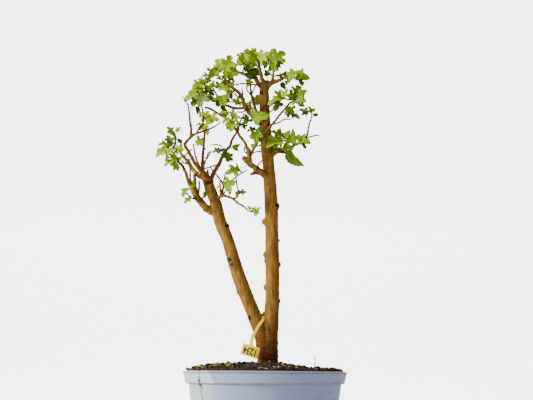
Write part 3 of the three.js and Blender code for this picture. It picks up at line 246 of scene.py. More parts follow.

# Sprays with ; between them: a name and the root on its twig, then its leaves. A leaf is its
# lobes, its base, its tip, the degrees that it is rolled about its length, and its kind of colour
# The bright kind is painted light and the dark kind painted shade on the green leaf
SPRAYS = """
crown_mid -12 -10 663: 5 -14 -7 667 -35 -20 678 10 bright, 5 -12 -12 667 -8 -14 682 -5 bright,
5 -11 -20 661 3 -28 673 5 bright, 3 -15 -20 660 -30 -30 659 20 bright;
crown_right 8 -13 656: 5 8 -27 657 27 -23 675 10 green, 3 5 -12 664 12 -8 686 0 bright,
1 11 -18 660 24 -16 663 50 dark, 3 9 -22 658 12 -30 641 0 green;
crown_back 5 2 661: 5 1 4 669 -6 8 683 -10 green, 5 6 6 671 20 14 681 15 green,
3 1 8 668 -9 16 666 20 dark;
crown_low -20 8 652: 5 -23 -2 657 -37 -7 652 10 dark, 5 -22 0 655 -28 -8 639 0 dark,
5 -19 14 661 -14 20 650 0 dark, 3 -20 4 661 -22 0 671 0 green, 5 -23 10 664 -42 12 666 15 green;
crown_left -36 12 670: 5 -37 7 670 -47 3 680 0 bright, 5 -34 10 673 -33 9 690 10 bright,
3 -39 10 669 -48 8 663 10 bright, 3 -33 5 671 -22 -2 680 0 bright;
peak_left -65 -26 638: 5 -63 -33 641 -55 -36 665 20 bright, 5 -67 -22 647 -78 -20 664 -10 bright,
5 -60 -30 640 -43 -33 635 15 green, 5 -63 -19 648 -52 -16 662 0 bright,
3 -68 -28 634 -77 -32 628 30 green, 1 -64 -34 640 -61 -37 627 0 green;
arc_high -85 6 644: 5 -83 2 645 -93 -5 654 15 bright, 3 -81 6 648 -76 7 663 0 bright,
5 -87 2 643 -100 -5 641 20 bright;
arc_mid -96 8 634: 5 -97 5 636 -108 5 639 0 bright, 5 -99 -4 630 -113 -15 621 5 bright,
3 -95 13 635 -91 15 644 0 green;
arc_low -94 8 622: 5 -98 -5 622 -114 -15 614 5 bright, 5 -98 3 618 -118 -6 607 15 bright,
3 -107 -10 613 -124 -20 596 20 bright, 5 -94 -18 609 -102 -26 587 0 pale,
1 -104 -17 595 -116 -22 582 60 green, 5 -91 3 620 -85 0 632 0 green,
5 -91 19 622 -81 27 621 0 dark;
dark_bud -83 8 625: 3 -83 5 627 -82 1 637 0 bright, 5 -80 13 628 -68 17 636 0 dark;
high_left -55 -26 620: 5 -57 -19 621 -67 -12 634 0 dark, 3 -53 -29 619 -49 -31 628 20 green,
5 -57 -31 615 -73 -36 610 10 bright, 3 -56 -27 614 -60 -27 600 0 green,
5 -61 -10 624 -78 -5 626 10 dark;
side_low -75 2 604: 5 -70 -4 611 -64 -25 590 0 green, 1 -68 -8 595 -65 -12 582 0 dark,
3 -74 8 605 -74 10 596 0 dark, 1 -83 11 610 -89 13 607 0 dark;
high_mid -35 -18 593: 5 -39 -26 590 -53 -32 597 10 green;
centre_back -19 8 601: 3 -23 13 604 -34 18 603 0 bright, 5 -16 14 604 -14 17 619 0 bright,
1 -20 8 595 -28 4 590 0 dark;
top_left_low -27 15 643: 3 -26 8 639 -31 4 626 0 bright, 3 -28 8 643 -35 5 646 0 green;
trunk_front -14 -7 572: 3 -21 -21 573 4 -37 572 58 green;
bright_mid -50 -18 559: 3 -57 -27 576 -77 -31 573 45 bright, 5 -52 -24 572 -50 -24 584 10 bright,
3 -49 -29 570 -38 -32 568 0 bright, 5 -54 -35 566 -66 -39 558 10 bright,
5 -52 -33 564 -53 -40 545 0 bright;
dark_mid -44 30 572: 5 -40 22 574 -46 18 566 0 dark, 5 -36 17 575 -21 11 575 0 green,
5 -37 22 573 -33 26 565 0 dark, 3 -34 14 577 -31 10 586 0 dark;
trunk_left -6 0 556: 5 -16 -4 558 -30 -6 554 20 dark, 3 -14 -18 556 -5 -23 551 0 dark,
5 -16 -24 550 -15 -29 530 0 green, 3 -17 -16 549 -22 -18 538 0 green;
twig_small -18 -23 527: 1 -19 -28 530 -21 -39 520 20 green;
riser_high -96 -34 569: 3 -97 -37 568 -101 -38 577 0 bright, 5 -93 -27 569 -88 -25 581 0 bright,
5 -88 -31 569 -71 -34 564 15 bright, 3 -90 -36 564 -83 -38 559 0 bright;
riser_low -98 -32 556: 3 -98 -27 560 -106 -28 557 20 bright, 3 -95 -30 563 -99 -28 569 0 bright;
pale_top -92 -3 561: 5 -93 -14 564 -96 -19 551 0 bright, 1 -90 -9 555 -89 -13 545 0 bright,
5 -91 -10 566 -87 -14 577 0 bright;
left_top -135 -42 537: 5 -139 -47 540 -147 -52 549 0 green, 5 -134 -44 543 -127 -46 550 0 bright,
3 -135 -51 537 -144 -55 539 0 green, 1 -132 -44 533 -126 -36 528 30 dark;
left_mid -136 -46 521: 5 -141 -37 525 -149 -31 541 20 pale, 5 -142 -51 520 -159 -59 520 30 bright,
5 -144 -54 514 -162 -56 502 25 bright, 5 -137 -64 513 -145 -64 503 0 bright,
3 -142 -50 508 -147 -54 496 40 green, 5 -134 -51 518 -121 -54 513 15 bright,
3 -135 -48 514 -130 -45 508 0 green;
left_low -131 -41 502: 3 -132 -53 500 -142 -50 505 0 bright,
5 -135 -49 499 -149 -56 488 30 bright, 3 -129 -43 501 -125 -41 507 0 bright,
5 -131 -46 496 -135 -51 483 15 bright;
low_a -117 -27 453: 3 -113 -39 460 -121 -54 443 35 green;
low_b -114 -25 449: 5 -111 -31 446 -120 -36 437 20 green;
low_c -111 -22 464: 3 -109 -29 463 -109 -30 473 50 bright;
low_d -90 -23 450: 3 -90 -25 451 -90 -23 462 40 green, 1 -92 -29 448 -94 -31 455 40 green;
upright_leaf -112 8 535: 5 -108 4 537 -93 0 544 30 green;
branch_leaf -61 19 532: 5 -69 0 531 -87 1 534 55 dark, 5 -64 11 530 -75 5 521 30 dark,
5 -62 9 524 -57 2 508 0 dark, 1 -54 21 537 -40 31 542 78 green;
tuft -95 -8 525: 3 -94 -13 523 -95 -15 530 0 dark;
right_a -63 -17 470: 5 -61 -26 462 -45 -41 469 15 green, 3 -55 -27 462 -53 -31 451 20 dark;
right_b -68 -23 463: 1 -68 -28 465 -74 -31 460 30 green;
right_c -27 -15 502: 5 -39 -36 489 -59 -43 480 0 green;
right_d -41 -28 456: 5 -40 -27 455 -29 -26 456 0 green, 1 -42 -34 457 -43 -39 446 40 dark;
right_end -14 -51 422: 5 -14 -43 425 -22 -40 431 0 bright, 3 -13 -52 424 -7 -61 427 0 bright,
5 -13 -60 420 -17 -61 414 0 bright, 1 -23 -58 424 -27 -57 431 30 green;
top_right_a 23 -9 636: 3 24 -12 639 12 -13 640 10 dark, 3 26 -6 642 30 -4 651 0 dark;
top_right_b 31 -13 639: 5 32 -31 633 49 -38 639 15 green, 3 46 -22 640 65 -30 630 25 green,
3 31 -24 634 34 -31 623 0 green;
top_right_c 3 -2 628: 3 2 13 641 0 17 631 0 dark, 3 1 12 647 -3 14 658 0 dark;
dry_leaf 19 -8 635: 1 22 -13 630 29 -17 617 30 dry;
star_leaf 26 -12 604: 5 23 -11 607 11 -18 614 0 bright, 5 25 -17 605 32 -22 617 0 bright,
3 22 -17 602 2 -27 590 30 bright;
right_high 43 -18 601: 5 39 -6 607 36 -13 619 0 green, 3 37 -22 602 29 -25 606 0 green,
5 46 -13 607 49 -5 628 15 green, 5 47 -21 605 59 -23 612 10 green,
5 46 -23 598 60 -28 596 10 green, 1 49 -20 595 58 -23 589 40 dark, 3 43 -25 596 38 -28 589 0 green;
right_dark 30 -22 589: 5 31 -33 585 41 -39 573 0 dark, 3 32 -31 583 28 -36 572 0 green,
1 39 -24 579 40 -26 569 0 dark, 1 42 -29 576 50 -33 567 40 dark, 1 27 -27 589 19 -29 585 50 green;
branch_top 70 10 590: 5 66 12 590 45 5 589 55 green, 3 70 5 588 64 2 596 0 green,
3 71 13 591 76 14 596 0 green, 1 71 13 586 81 16 587 40 dark;
branch_low 30 -1 538: 5 27 -9 539 0 -24 526 25 bright, 5 27 0 546 7 -9 553 25 green,
1 28 -7 544 36 -13 555 25 bright, 5 31 -5 541 54 -11 545 25 green,
3 50 -8 542 67 -15 534 15 green, 3 26 -9 532 41 -15 524 20 green;
drooping_leaf 27 8 526: 1 30 0 526 56 -8 500 66 dark;
stub_leaf 15 4 526: 3 17 -4 530 8 -8 529 25 green
"""

# The strap's route from the tag's head up to the fork and back behind the left trunk
STRAP_ROUTE = [
    (-20, -24.6, 228.5), (-18.6, -23.8, 240), (-11.4, -19, 257), (-3.6, -12, 268.5), (-3, -2, 275),
    (-5, 9, 273), (-11, 15, 262), (-17, 13, 250), (-20.2, 2, 241), (-20.8, -12, 234)]
STALK_ROUTE = [(72, -20, 186), (72.4, -20, 205), (71.6, -20.4, 217)]


def numbers(words):
    return [float(word) for word in words]


def read_limbs():
    """The table of limbs as (radii at both ends, axis points)."""
    for row in LIMBS.split(";"):
        radii, *points = [numbers(cell.split()) for cell in row.split(",")]
        yield radii, points


def read_leaf(words):
    lobes, *places, kind = words
    places = numbers(places)
    return OUTLINES[int(lobes)], places[:3], places[3:6], places[6], KINDS.index(kind)


def read_sprays():
    """The table of sprays as (name, root, leaves)."""
    for row in SPRAYS.split(";"):
        head, leaves = row.split(":")
        name, *root = head.split()
        yield name, numbers(root), [read_leaf(leaf.split()) for leaf in leaves.split(",")]


class Value:
    """A node's output. Sums, products and the like on it add Math nodes."""

    def __init__(self, surface, socket):
        self.surface = surface
        self.socket = socket

    def math(self, operation, *inputs):
        return self.surface.add("ShaderNodeMath", {"operation": operation}, dict(enumerate(inputs)))

    def __add__(self, other):
        return self.math("ADD", self, other)

    __radd__ = __add__

    def __sub__(self, other):
        return self.math("SUBTRACT", self, other)

    def __rsub__(self, other):
        return self.math("SUBTRACT", other, self)

    def __mul__(self, other):
        return self.math("MULTIPLY", self, other)

    def __pow__(self, other):
        return self.math("POWER", self, other)

    def __abs__(self):
        return self.math("ABSOLUTE", self)

    def most(self, other):
        return self.math("MAXIMUM", self, other)

    def step(self, low, high):
        """0 below low and 1 above high, with a smooth rise between."""
        return self.surface.add(
            "ShaderNodeMapRange", {"interpolation_type": "SMOOTHSTEP"},
            {"Value": self, "From Min": low, "From Max": high})


class Surface:
    """A material with one Principled shader."""

    def __init__(self, name):
        self.material = bpy.data.materials.new(name)
        self.material.use_nodes = True
        self.tree = self.material.node_tree
        self.shader = self.tree.nodes["Principled BSDF"]

    def add(self, kind, settings=None, inputs=None, output=0):
        """Adds a node: its settings first, then the values or links of its sockets."""
        node = self.tree.nodes.new(kind)
        for name, value in (settings or {}).items():
            if name == "stops":
                self._stops(node.color_ramp, value)
            else:
                setattr(node, name, value)
        for name, value in (inputs or {}).items():
            self._feed(node.inputs[name], value)
        return Value(self, node.outputs[output])

    def _feed(self, socket, value):
        if isinstance(value, Value):
            self.tree.links.new(value.socket, socket)
        else:
            socket.default_value = value

    def feed(self, name, value):
        """Sets or links one of the shader's own sockets."""
        if isinstance(value, (tuple, list)):
            value = rgba(value)
        self._feed(self.shader.inputs[name], value)

    def _stops(self, ramp, stops):
        while len(ramp.elements) < len(stops):
            ramp.elements.new(1.0)
        for element, (position, shade) in zip(ramp.elements, stops):
            element.position = position
            element.color = rgba(shade)

    def place(self):
        """The object's own coordinates, in metres."""
        return self.add("ShaderNodeTexCoord", output="Object")

    def axes(self, vector):
        node = self.add("ShaderNodeSeparateXYZ", inputs={0: vector}).socket.node
        return [Value(self, socket) for socket in node.outputs]

    def vector(self, x, y, z):
        return self.add("ShaderNodeCombineXYZ", inputs={0: x, 1: y, 2: z})

    def grain(self, vector, size, detail, roughness=0.55):
        """Noise about 0.5 whose lumps are about size metres across."""
        return self.add("ShaderNodeTexNoise", inputs={
            "Vector": vector, "Scale": 1 / size, "Detail": detail, "Roughness": roughness})

    def attribute(self, name):
        return self.add("ShaderNodeAttribute", {"attribute_name": name}, output="Fac")

    def mix(self, share, first, second):
        """A colour between two others."""
        first, second = [c if isinstance(c, Value) else rgba(c) for c in (first, second)]
        return self.add("ShaderNodeMix", {"data_type": "RGBA"},
                        {0: share, 6: first, 7: second}, output=2)

    def layers(self, tint, *coats):
        """A colour with others laid over it in turn, each as (share, colour)."""
        for share, colour in coats:
            tint = self.mix(share, tint, colour)
        return tint

    def finish(self, colour, roughness, relief=None, depth=0.0, **fixed):
        """Feeds the shader. depth is the height in metres of a relief of 1."""
        self.feed("Base Color", colour)
        self.feed("Roughness", roughness)
        for name, value in fixed.items():
            self.feed(name.replace("_", " "), value)
        if relief is not None:
            self.feed("Normal", self.add("ShaderNodeBump", inputs={
                "Height": relief, "Distance": depth, "Strength": 1.0}))
        return self.material


def rgba(colour):
    """A screen colour from 0 to 255, or a colour from a property, as a linear one."""
    if max(colour) <= 1:
        return (*colour[:3], 1.0)
    return (*((c / 255) ** 2.2 for c in colour[:3]), 1.0)


def dim(colour, share):
    return [c * share for c in colour]


def bark_material(tan, foot):
    s = Surface("bark")
    place = s.place()
    x, y, z = s.axes(place)
    broad = s.grain(place, 0.03, 3)
    long = s.grain(s.vector(x * 3, y * 3, z * 0.6), 0.012, 4, 0.6)
    fine = s.grain(place, 0.0012, 3, 0.6)
    rings = s.grain(s.vector(x * 0.5, y * 0.5, z * 3.2), 0.009, 3, 0.6)
    pores = s.add("ShaderNodeTexVoronoi", {"feature": "F1"}, {
        "Vector": s.vector(x, y, z * 1.7), "Scale": 210.0}).step(0.12, 0.22)
    low = 1 - (z + (broad - 0.5) * 0.03).step(0.212, 0.282)
    young = s.attribute("young")
    base = s.layers(
        tan,
        (long.step(0.35, 0.62), dim(tan, 0.55)),
        (broad.step(0.46, 0.66) * 0.6, (112, 82, 30)),
        (young * 0.8, s.mix(long.step(0.35, 0.65), (112, 62, 30), (60, 32, 17))),
        (low * 0.85, s.mix(rings.step(0.4, 0.62), foot, (48, 17, 8))),
        ((1 - pores) * (1 - low) * (1 - young) * 0.3, (178, 130, 66)),
        (rings.step(0.6, 0.72) * (0.3 + low * 0.4), (58, 34, 12)),
        (fine.step(0.48, 0.7) * 0.5, (74, 48, 20)),
        (s.attribute("scar").step(0.25, 0.75) * 0.9, (26, 15, 9)))
    relief = long * 0.5 + fine * 0.25 + rings * (0.35 + low * 1.6) - pores * 0.1
    return s.finish(base, 0.62 + fine * 0.3, relief, 0.0011, Specular_IOR_Level=0.2)


def leaf_material(name, face, vein, dull=0.0):
    s = Surface(name)
    place = s.place()
    u, v, _ = s.axes(s.add("ShaderNodeUVMap", {"uv_map": "leaf"}))
    side = abs(v)
    midrib = 1 - side.step(0.006, 0.022)
    run = (u - side * 0.62) * 6.5
    herring = abs(run.math("FRACT", run) - 0.5)
    veins = ((1 - herring.step(0.03, 0.09)) * (1 - side.step(0.28, 0.46)) * 0.75).most(midrib)
    net = s.add("ShaderNodeTexVoronoi", {"feature": "DISTANCE_TO_EDGE"}, {
        "Vector": place, "Scale": 620.0}).step(0.0, 0.12)
    patch = s.grain(place, 0.012, 2)
    tint = s.layers(
        face, (patch.step(0.35, 0.68), dim(face, 0.74)),
        (side.step(0.3, 0.5) * 0.35, dim(face, 0.82)), (veins * 0.4, vein))
    relief = (1 - veins) + net * 0.25
    return s.finish(tint, 0.45 + dull + patch * 0.2, relief, 0.0005, Specular_IOR_Level=0.22)


def stem_material(colour):
    s = Surface("leaf_stem")
    grain = s.grain(s.place(), 0.004, 3)
    tint = s.mix(grain.step(0.35, 0.7), colour, dim(colour, 0.75))
    return s.finish(tint, 0.5 + grain * 0.15, grain, 0.0002)


def pot_material(blue, pale):
    s = Surface("pot")
    place = s.place()
    x, y, z = s.axes(place)
    cloud = s.grain(place, 0.07, 4, 0.6)
    dust = s.grain(place, 0.006, 5, 0.65)
    fine = s.grain(place, 0.0006, 2)
    round_scratches = s.grain(s.vector(x, y, z * 26), 0.05, 4, 0.7)
    # Painted light: the front of the side that faces left, towards the key light, is painted paler,
    # up to a slanting edge
    slant = x + (z - 0.176) * 0.57 + (cloud - 0.5) * 0.006
    band = z.step(0.1755, 0.1765)
    patch = (1 - slant.step(-0.071, -0.0665)) * band
    patch = patch.most((1 - (x + (cloud - 0.5) * 0.03).step(-0.09, -0.06)) * (1 - band) * 0.8)
    # The mould's seam runs down the front left, dark with caught dirt
    front = 1 - y.step(-0.02, 0.0)
    seam = abs(x + 0.0923 - (195 * MM - z) * 0.12 + (dust - 0.5) * 0.002)
    line = (1 - seam.step(0.0003, 0.0011)) * front
    spots = s.grain(s.vector(x * 2, y * 2, z), 0.012, 2).step(0.55, 0.62) * (
        1 - seam.step(0.001, 0.0035)) * front
    for across, height, reach in ((-0.0918, 0.1803, 0.0026), (-0.0907, 0.1748, 0.0027),
                                  (0.1045, 0.1795, 0.001), (0.0905, 0.1655, 0.0012)):
        gap = ((x - across) * (x - across) + (z - height) * (z - height)) ** 0.5
        spots = spots.most((1 - (gap + (dust - 0.5) * 0.0016).step(reach * 0.6, reach)) * front)
    # Painted shade: a darker line in the crease under the rolled lip
    lip = 1 - abs(z - 0.1912).step(0.0003, 0.0012)
    # Darker in patches along the foot of the band
    band_foot_dark = (1 - abs(z - 0.1765).step(0.0004, 0.0022)) * dust.step(0.3, 0.6)
    splash = s.grain(place, 0.004, 2, 0.4).step(0.735, 0.76)
    tint = s.layers(
        blue,
        (cloud.step(0.35, 0.68), dim(blue, 0.93)),
        (patch * (1 - y.step(0.0, 0.03)) * 0.85, pale),
        ((line * 0.75).most(spots * 0.9), (52, 46, 40)),
        (band_foot_dark * 0.55, (92, 92, 82)),
        (lip * 0.6, (70, 74, 80)),
        (splash * 0.7, (92, 78, 58)),
        (round_scratches.step(0.62, 0.72) * 0.25, (212, 220, 226)),
        (dust.step(0.5, 0.8) * 0.2, (156, 150, 132)))
    relief = fine * 0.3 + dust * 0.4 + line * -0.8 + round_scratches * 0.3
    return s.finish(tint, 0.42 + dust * 0.3, relief, 0.00035, Specular_IOR_Level=0.3)


def soil_material(dark, light):
    s = Surface("soil")
    place = s.place()
    crumbs = s.add("ShaderNodeTexVoronoi", {"feature": "F1"}, {
        "Vector": place, "Scale": 330.0}).step(0.05, 0.7)
    broad = s.grain(place, 0.02, 4, 0.6)
    fine = s.grain(place, 0.0016, 4, 0.65)
    tint = s.layers(
        dark, (crumbs * 0.7, light), (broad.step(0.45, 0.7) * 0.5, (74, 50, 30)),
        (fine.step(0.62, 0.72) * 0.4, (112, 88, 56)))
    return s.finish(tint, 0.95, fine * 0.6 + (1 - crumbs) * 0.6, 0.0015, Specular_IOR_Level=0.2)


def chip_material():
    s = Surface("soil_chips")
    fine = s.grain(s.place(), 0.0009, 4, 0.65)
    tint = s.add("ShaderNodeValToRGB", {"stops": [
        (0.0, (24, 16, 10)), (0.4, (56, 36, 20)), (0.7, (96, 64, 34)), (0.92, (140, 108, 66)),
        (1.0, (176, 156, 120))]}, {0: s.attribute("shade")})
    tint = s.mix(fine.step(0.5, 0.75) * 0.45, tint, (44, 32, 22))
    return s.finish(tint, 0.85, fine, 0.0005, Specular_IOR_Level=0.25)


def moss_material(green):
    s = Surface("moss")
    place = s.place()
    fine = s.grain(place, 0.0007, 2)
    tint = s.layers(
        green, (s.grain(place, 0.008, 3).step(0.35, 0.65), (74, 92, 6)),
        (fine.step(0.55, 0.75) * 0.5, (200, 206, 30)))
    return s.finish(tint, 0.8, fine, 0.0003, Specular_IOR_Level=0.25)


def tag_material(yellow):
    s = Surface("tag")
    place = s.place()
    x, y, z = s.axes(place)
    drawn = s.grain(s.vector(x * 8, y, z), 0.006, 3)
    tint = s.layers(
        yellow, (s.grain(place, 0.01, 2).step(0.3, 0.7) * 0.5, dim(yellow, 0.92)),
        (s.grain(place, 0.0035, 4, 0.6).step(0.66, 0.76) * 0.35, (156, 124, 40)))
    # Painted light: the plastic glows faintly yellow, though it is no lamp
    s.feed("Emission Color", (1.0, 0.72, 0.0))
    return s.finish(tint, 0.45 + drawn * 0.2, drawn, 0.00012, Specular_IOR_Level=0.1,
                    Emission_Strength=0.35)


def ink_material():
    s = Surface("tag_ink")
    worn = s.grain(s.place(), 0.0012, 3)
    tint = s.mix(worn.step(0.5, 0.8) * 0.5, (26, 22, 18), (70, 58, 26))
    return s.finish(tint, 0.55, worn, 0.00005)


def straw_material():
    s = Surface("dry_stalk")
    x, y, z = s.axes(s.place())
    grain = s.grain(s.vector(x * 4, y * 4, z * 0.5), 0.003, 4, 0.6)
    tint = s.mix(grain.step(0.3, 0.7), (186, 172, 140), (118, 100, 72))
    return s.finish(tint, 0.85, grain, 0.0003, Specular_IOR_Level=0.2)


def floor_material(colour):
    """Pale card, with a soft glow where it rises behind the tree."""
    s = Surface("floor")
    place = s.place()
    x, y, z = s.axes(place)
    glow = (1 - abs(x).step(1.35, 2.2)) * y.step(1.8, 2.4) * (1 - z.step(2.3, 3.1))
    s.feed("Emission Color", s.mix(glow, (0, 0, 0), (1, 1, 1)))
    tint = s.mix(s.grain(place, 0.4, 2), colour, dim(colour, 0.985))
    return s.finish(tint, 0.9, Specular_IOR_Level=0.1, Emission_Strength=4.0)


def spline(points, values, spacing):
    """Points along a smooth line through the given ones, about spacing apart, in metres, with the
    values read along it. Its pace through each point follows the root of the distance."""
    spots = [Vector(p) * MM for p in points]
    ends = [spots[0] * 2 - spots[1], *spots, spots[-1] * 2 - spots[-2]]
    line = []
    for i in range(len(spots) - 1):
        p0, p1, p2, p3 = ends[i:i + 4]
        t0, t1, t2 = [max((b - a).length, 1e-6) ** 0.5
                      for a, b in ((p0, p1), (p1, p2), (p2, p3))]
        start = ((p1 - p0) / t0 - (p2 - p0) / (t0 + t1) + (p2 - p1) / t1) * t1
        stop = ((p2 - p1) / t1 - (p3 - p1) / (t1 + t2) + (p3 - p2) / t2) * t1
        count = max(1, round((p2 - p1).length / spacing))
        for k in range(count + (i == len(spots) - 2)):
            t = k / count
            place = (p1 * (2 * t ** 3 - 3 * t ** 2 + 1) + start * (t ** 3 - 2 * t ** 2 + t)
                     + p2 * (3 * t ** 2 - 2 * t ** 3) + stop * (t ** 3 - t ** 2))
            line.append((place, read_along(values, (i + t) / (len(spots) - 1))))
    return line


def read_along(values, share):
    place = share * (len(values) - 1)
    first = min(int(place), len(values) - 2)
    return values[first] + (values[first + 1] - values[first]) * (place - first)


def clamp(value):
    return max(0.0, min(1.0, value))


def around(sides):
    """The cosine and sine of each step of a full turn."""
    for k in range(sides):
        yield math.cos(math.tau * k / sides), math.sin(math.tau * k / sides)


def circle(bm, radius, sides, height):
    """A level ring of points about the pot's axis, or one point where the radius is nil."""
    if radius < 1e-6:
        return [bm.verts.new((0, 0, height))]
    return [bm.verts.new((radius * c, radius * s, height)) for c, s in around(sides)]


def bridge(bm, *rings):
    """Faces from each ring to the next. A ring of one point is a tip."""
    for here, there in zip(rings, rings[1:]):
        sides = max(len(here), len(there))
        for k in range(sides):
            n = (k + 1) % sides
            corners = (here[k % len(here)], here[n % len(here)],
                       there[n % len(there)], there[k % len(there)])
            bm.faces.new(list(dict.fromkeys(corners)))


def sweep(bm, line, sides, blunt=0.6):
    """A closed round limb along a line of (place, radius), with a low point at each end."""
    places = [p for p, _ in line]
    tangents = [(places[min(i + 1, len(places) - 1)] - places[max(i - 1, 0)]).normalized()
                for i in range(len(places))]
    normal = tangents[0].orthogonal().normalized()
    rings = []
    for (place, radius), tangent in zip(line, tangents):
        normal = (normal - tangent * normal.dot(tangent)).normalized()
        binormal = tangent.cross(normal)
        rings.append([bm.verts.new(place + (normal * c + binormal * s) * radius)
                      for c, s in around(sides)])
    first = bm.verts.new(places[0] - tangents[0] * line[0][1] * blunt)
    last = bm.verts.new(places[-1] + tangents[-1] * line[-1][1] * blunt)
    bridge(bm, [first], *rings, [last])


def ball(fineness):
    """Corners and faces of a ball of radius 1, made of triangles."""
    bm = bmesh.new()
    bmesh.ops.create_icosphere(bm, subdivisions=fineness, radius=1.0)
    corners = [vert.co.copy() for vert in bm.verts]
    faces = [[vert.index for vert in face.verts] for face in bm.faces]
    bm.free()
    return corners, faces


def lump(bm, shape, place, radii, turn, rough, seed):
    """A small closed uneven lump in the shape of a ball."""
    corners, faces = shape
    made = []
    for corner in corners:
        bulge = 1 + rough * noise.noise(corner * 1.3 + Vector((seed * 7.1, seed * 3.3, seed)))
        spot = turn @ Vector([c * r * bulge for c, r in zip(corner, radii)]) + place
        made.append(bm.verts.new(spot))
    for face in faces:
        bm.faces.new([made[i] for i in face])
    return made


def link(name, data):
    """A new object of the scene."""
    piece = bpy.data.objects.new(name, data)
    bpy.context.scene.collection.objects.link(piece)
    return piece


def object_of(bm, name, materials, smooth=True):
    bmesh.ops.recalc_face_normals(bm, faces=bm.faces)
    mesh = bpy.data.meshes.new(name)
    bm.to_mesh(mesh)
    bm.free()
    for material in materials:
        mesh.materials.append(material)
    mesh.polygons.foreach_set("use_smooth", [smooth] * len(mesh.polygons))
    return link(name, mesh)


def final_mesh(piece):
    """The piece's mesh with its modifiers applied."""
    graph = bpy.context.evaluated_depsgraph_get()
    return bpy.data.meshes.new_from_object(piece.evaluated_get(graph))


def apply_modifiers(piece):
    mesh = final_mesh(piece)
    old = piece.data
    piece.modifiers.clear()
    piece.data = mesh
    bpy.data.meshes.remove(old)


def attribute_values(mesh, name, values):
    layer = mesh.attributes.new(name, "FLOAT", "POINT")
    layer.data.foreach_set("value", values)


def settle(piece, slot, *nodes):
    """Hangs the piece on its body and hides the solids that it stands for."""
    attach(piece, BODY)
    if nodes:
        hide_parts(*nodes)


def turn_to(direction):
    """A rotation that takes Z to a direction."""
    return direction.to_track_quat("Z", "Y").to_matrix()


def a_length(name, description, default, least):
    return bpy.props.FloatProperty(
        name=name, description=description, default=default, min=least, unit="LENGTH")


def a_share(name, description, default, least, most):
    return bpy.props.FloatProperty(
        name=name, description=description, default=default, min=least, max=most)


def a_count(name, description, default):
    return bpy.props.IntProperty(
        name=name, description=description, default=default, min=0, max=4000)


def a_colour(name, description, *default):
    return bpy.props.FloatVectorProperty(
        name=name, description=description, subtype="COLOR", size=3, default=default)


class BonsaiSizes(bpy.types.PropertyGroup):
    """Sizes of the details that are drawn over the solids."""
    bark_relief: a_length(
        "Bark relief", "Height of the bark's ridges on a thick stem", 0.00035, 0)
    bark_voxel: a_length(
        "Bark fineness", "Edge of the smallest facet of the trunks", 0.00115, 0.0005)
    trunk_share: a_share(
        "Trunk thickness", "Thickness of the trunks as a share of the traced one", 1.12, 0.5, 2)
    branch_share: a_share(
        "Branch thickness", "Thickness of the branches as a share of the traced one", 1.38, 0.5, 2)
    twig_radius: a_length("Twig radius", "Radius of the thinnest twig", 0.0011, 0.0003)
    twig_bud: a_length("Bud length", "Length of the buds along the twigs", 0.0022, 0)
    leaf_thickness: a_length("Leaf thickness", "Thickness of a leaf's blade", 0.00034, 0.0001)
    leaf_tooth: a_share(
        "Leaf teeth", "Depth of the teeth as a share of the leaf's length", 0.042, 0, 0.1)
    stalk_radius: a_length(
        "Leaf stalk radius", "Radius of the stalk under each leaf", 0.0007, 0.0002)
    rim_radius: a_length("Pot rim radius", "Radius of the pot at its rim", POT_BOX[1][1], 0.05)
    pot_height: a_length("Pot height", "Height of the pot", POT_BOX[1][2], 0.05)
    soil_top: a_length("Soil height", "Height of the soil at the pot's wall", 0.1958, 0.05)
    soil_mound: a_length("Soil mound", "How much the soil rises towards the trunk", 0.009, 0)
    chip_count: a_count("Soil chips", "Number of chips and grains on the soil", 1900)
    moss_count: a_count("Moss shoots", "Number of moss shoots", 1500)


class BonsaiColours(bpy.types.PropertyGroup):
    """Main colours of the bonsai."""
    bark: a_colour("Bark", "Olive-tan bark", 0.4, 0.19, 0.025)
    foot: a_colour("Foot", "Reddish bark just above the soil", 0.15, 0.024, 0.002)
    bright: a_colour("Bright leaves", "Leaves in full light", 0.47, 0.64, 0)
    green: a_colour("Green leaves", "Ordinary leaves", 0.265, 0.44, 0)
    dark: a_colour("Shaded leaves", "Leaves inside the crown", 0.1, 0.19, 0)
    pale: a_colour("Leaf undersides", "Grey-green underside of a leaf", 0.28, 0.4, 0.07)
    pot: a_colour("Pot", "Grey-blue plastic", 0.33, 0.39, 0.56)
    soil: a_colour("Soil", "Damp soil", 0.02, 0.011, 0.005)
    moss: a_colour("Moss", "Moss on the soil", 0.36, 0.4, 0)
    tag: a_colour("Tag", "Yellow plastic", 1, 0.76, 0)


def limb_lines(sizes):
    """Every limb as (line of points and radii in metres, sides), the two trunks first."""
    thickness = sizes.trunk_share * MM
    for points, radii, sides in ((MAIN_TRUNK, MAIN_RADII, 32), (LEFT_TRUNK, LEFT_RADII, 28)):
        yield spline(points, [r * thickness for r in radii], TRUNK_STEP), sides
    for ends, points in read_limbs():
        radii = [max(r * MM * sizes.branch_share, sizes.twig_radius) for r in ends]
        yield spline(points, radii, LIMB_STEP), 12 if ends[0] > 2 else 8


def knotted(line, seed):
    """The line with a slight swelling at each bud and an uneven run between them."""
    travelled = 0.0
    out = []
    for i, (place, radius) in enumerate(line):
        if i:
            travelled += (place - line[i - 1][0]).length
        swell = 0.22 * max(0.0, math.cos(travelled / BUD_SPACING * math.tau)) ** 6
        shift = Vector([noise.noise(Vector((travelled * 160, seed, k * 9.7))) for k in range(3)])
        hold = min(1.0, i / 3)
        out.append((place + shift * 0.00045 * hold, radius * (1 + swell)))
    return out


def round_half_up(value):
    return int(value + 0.5)


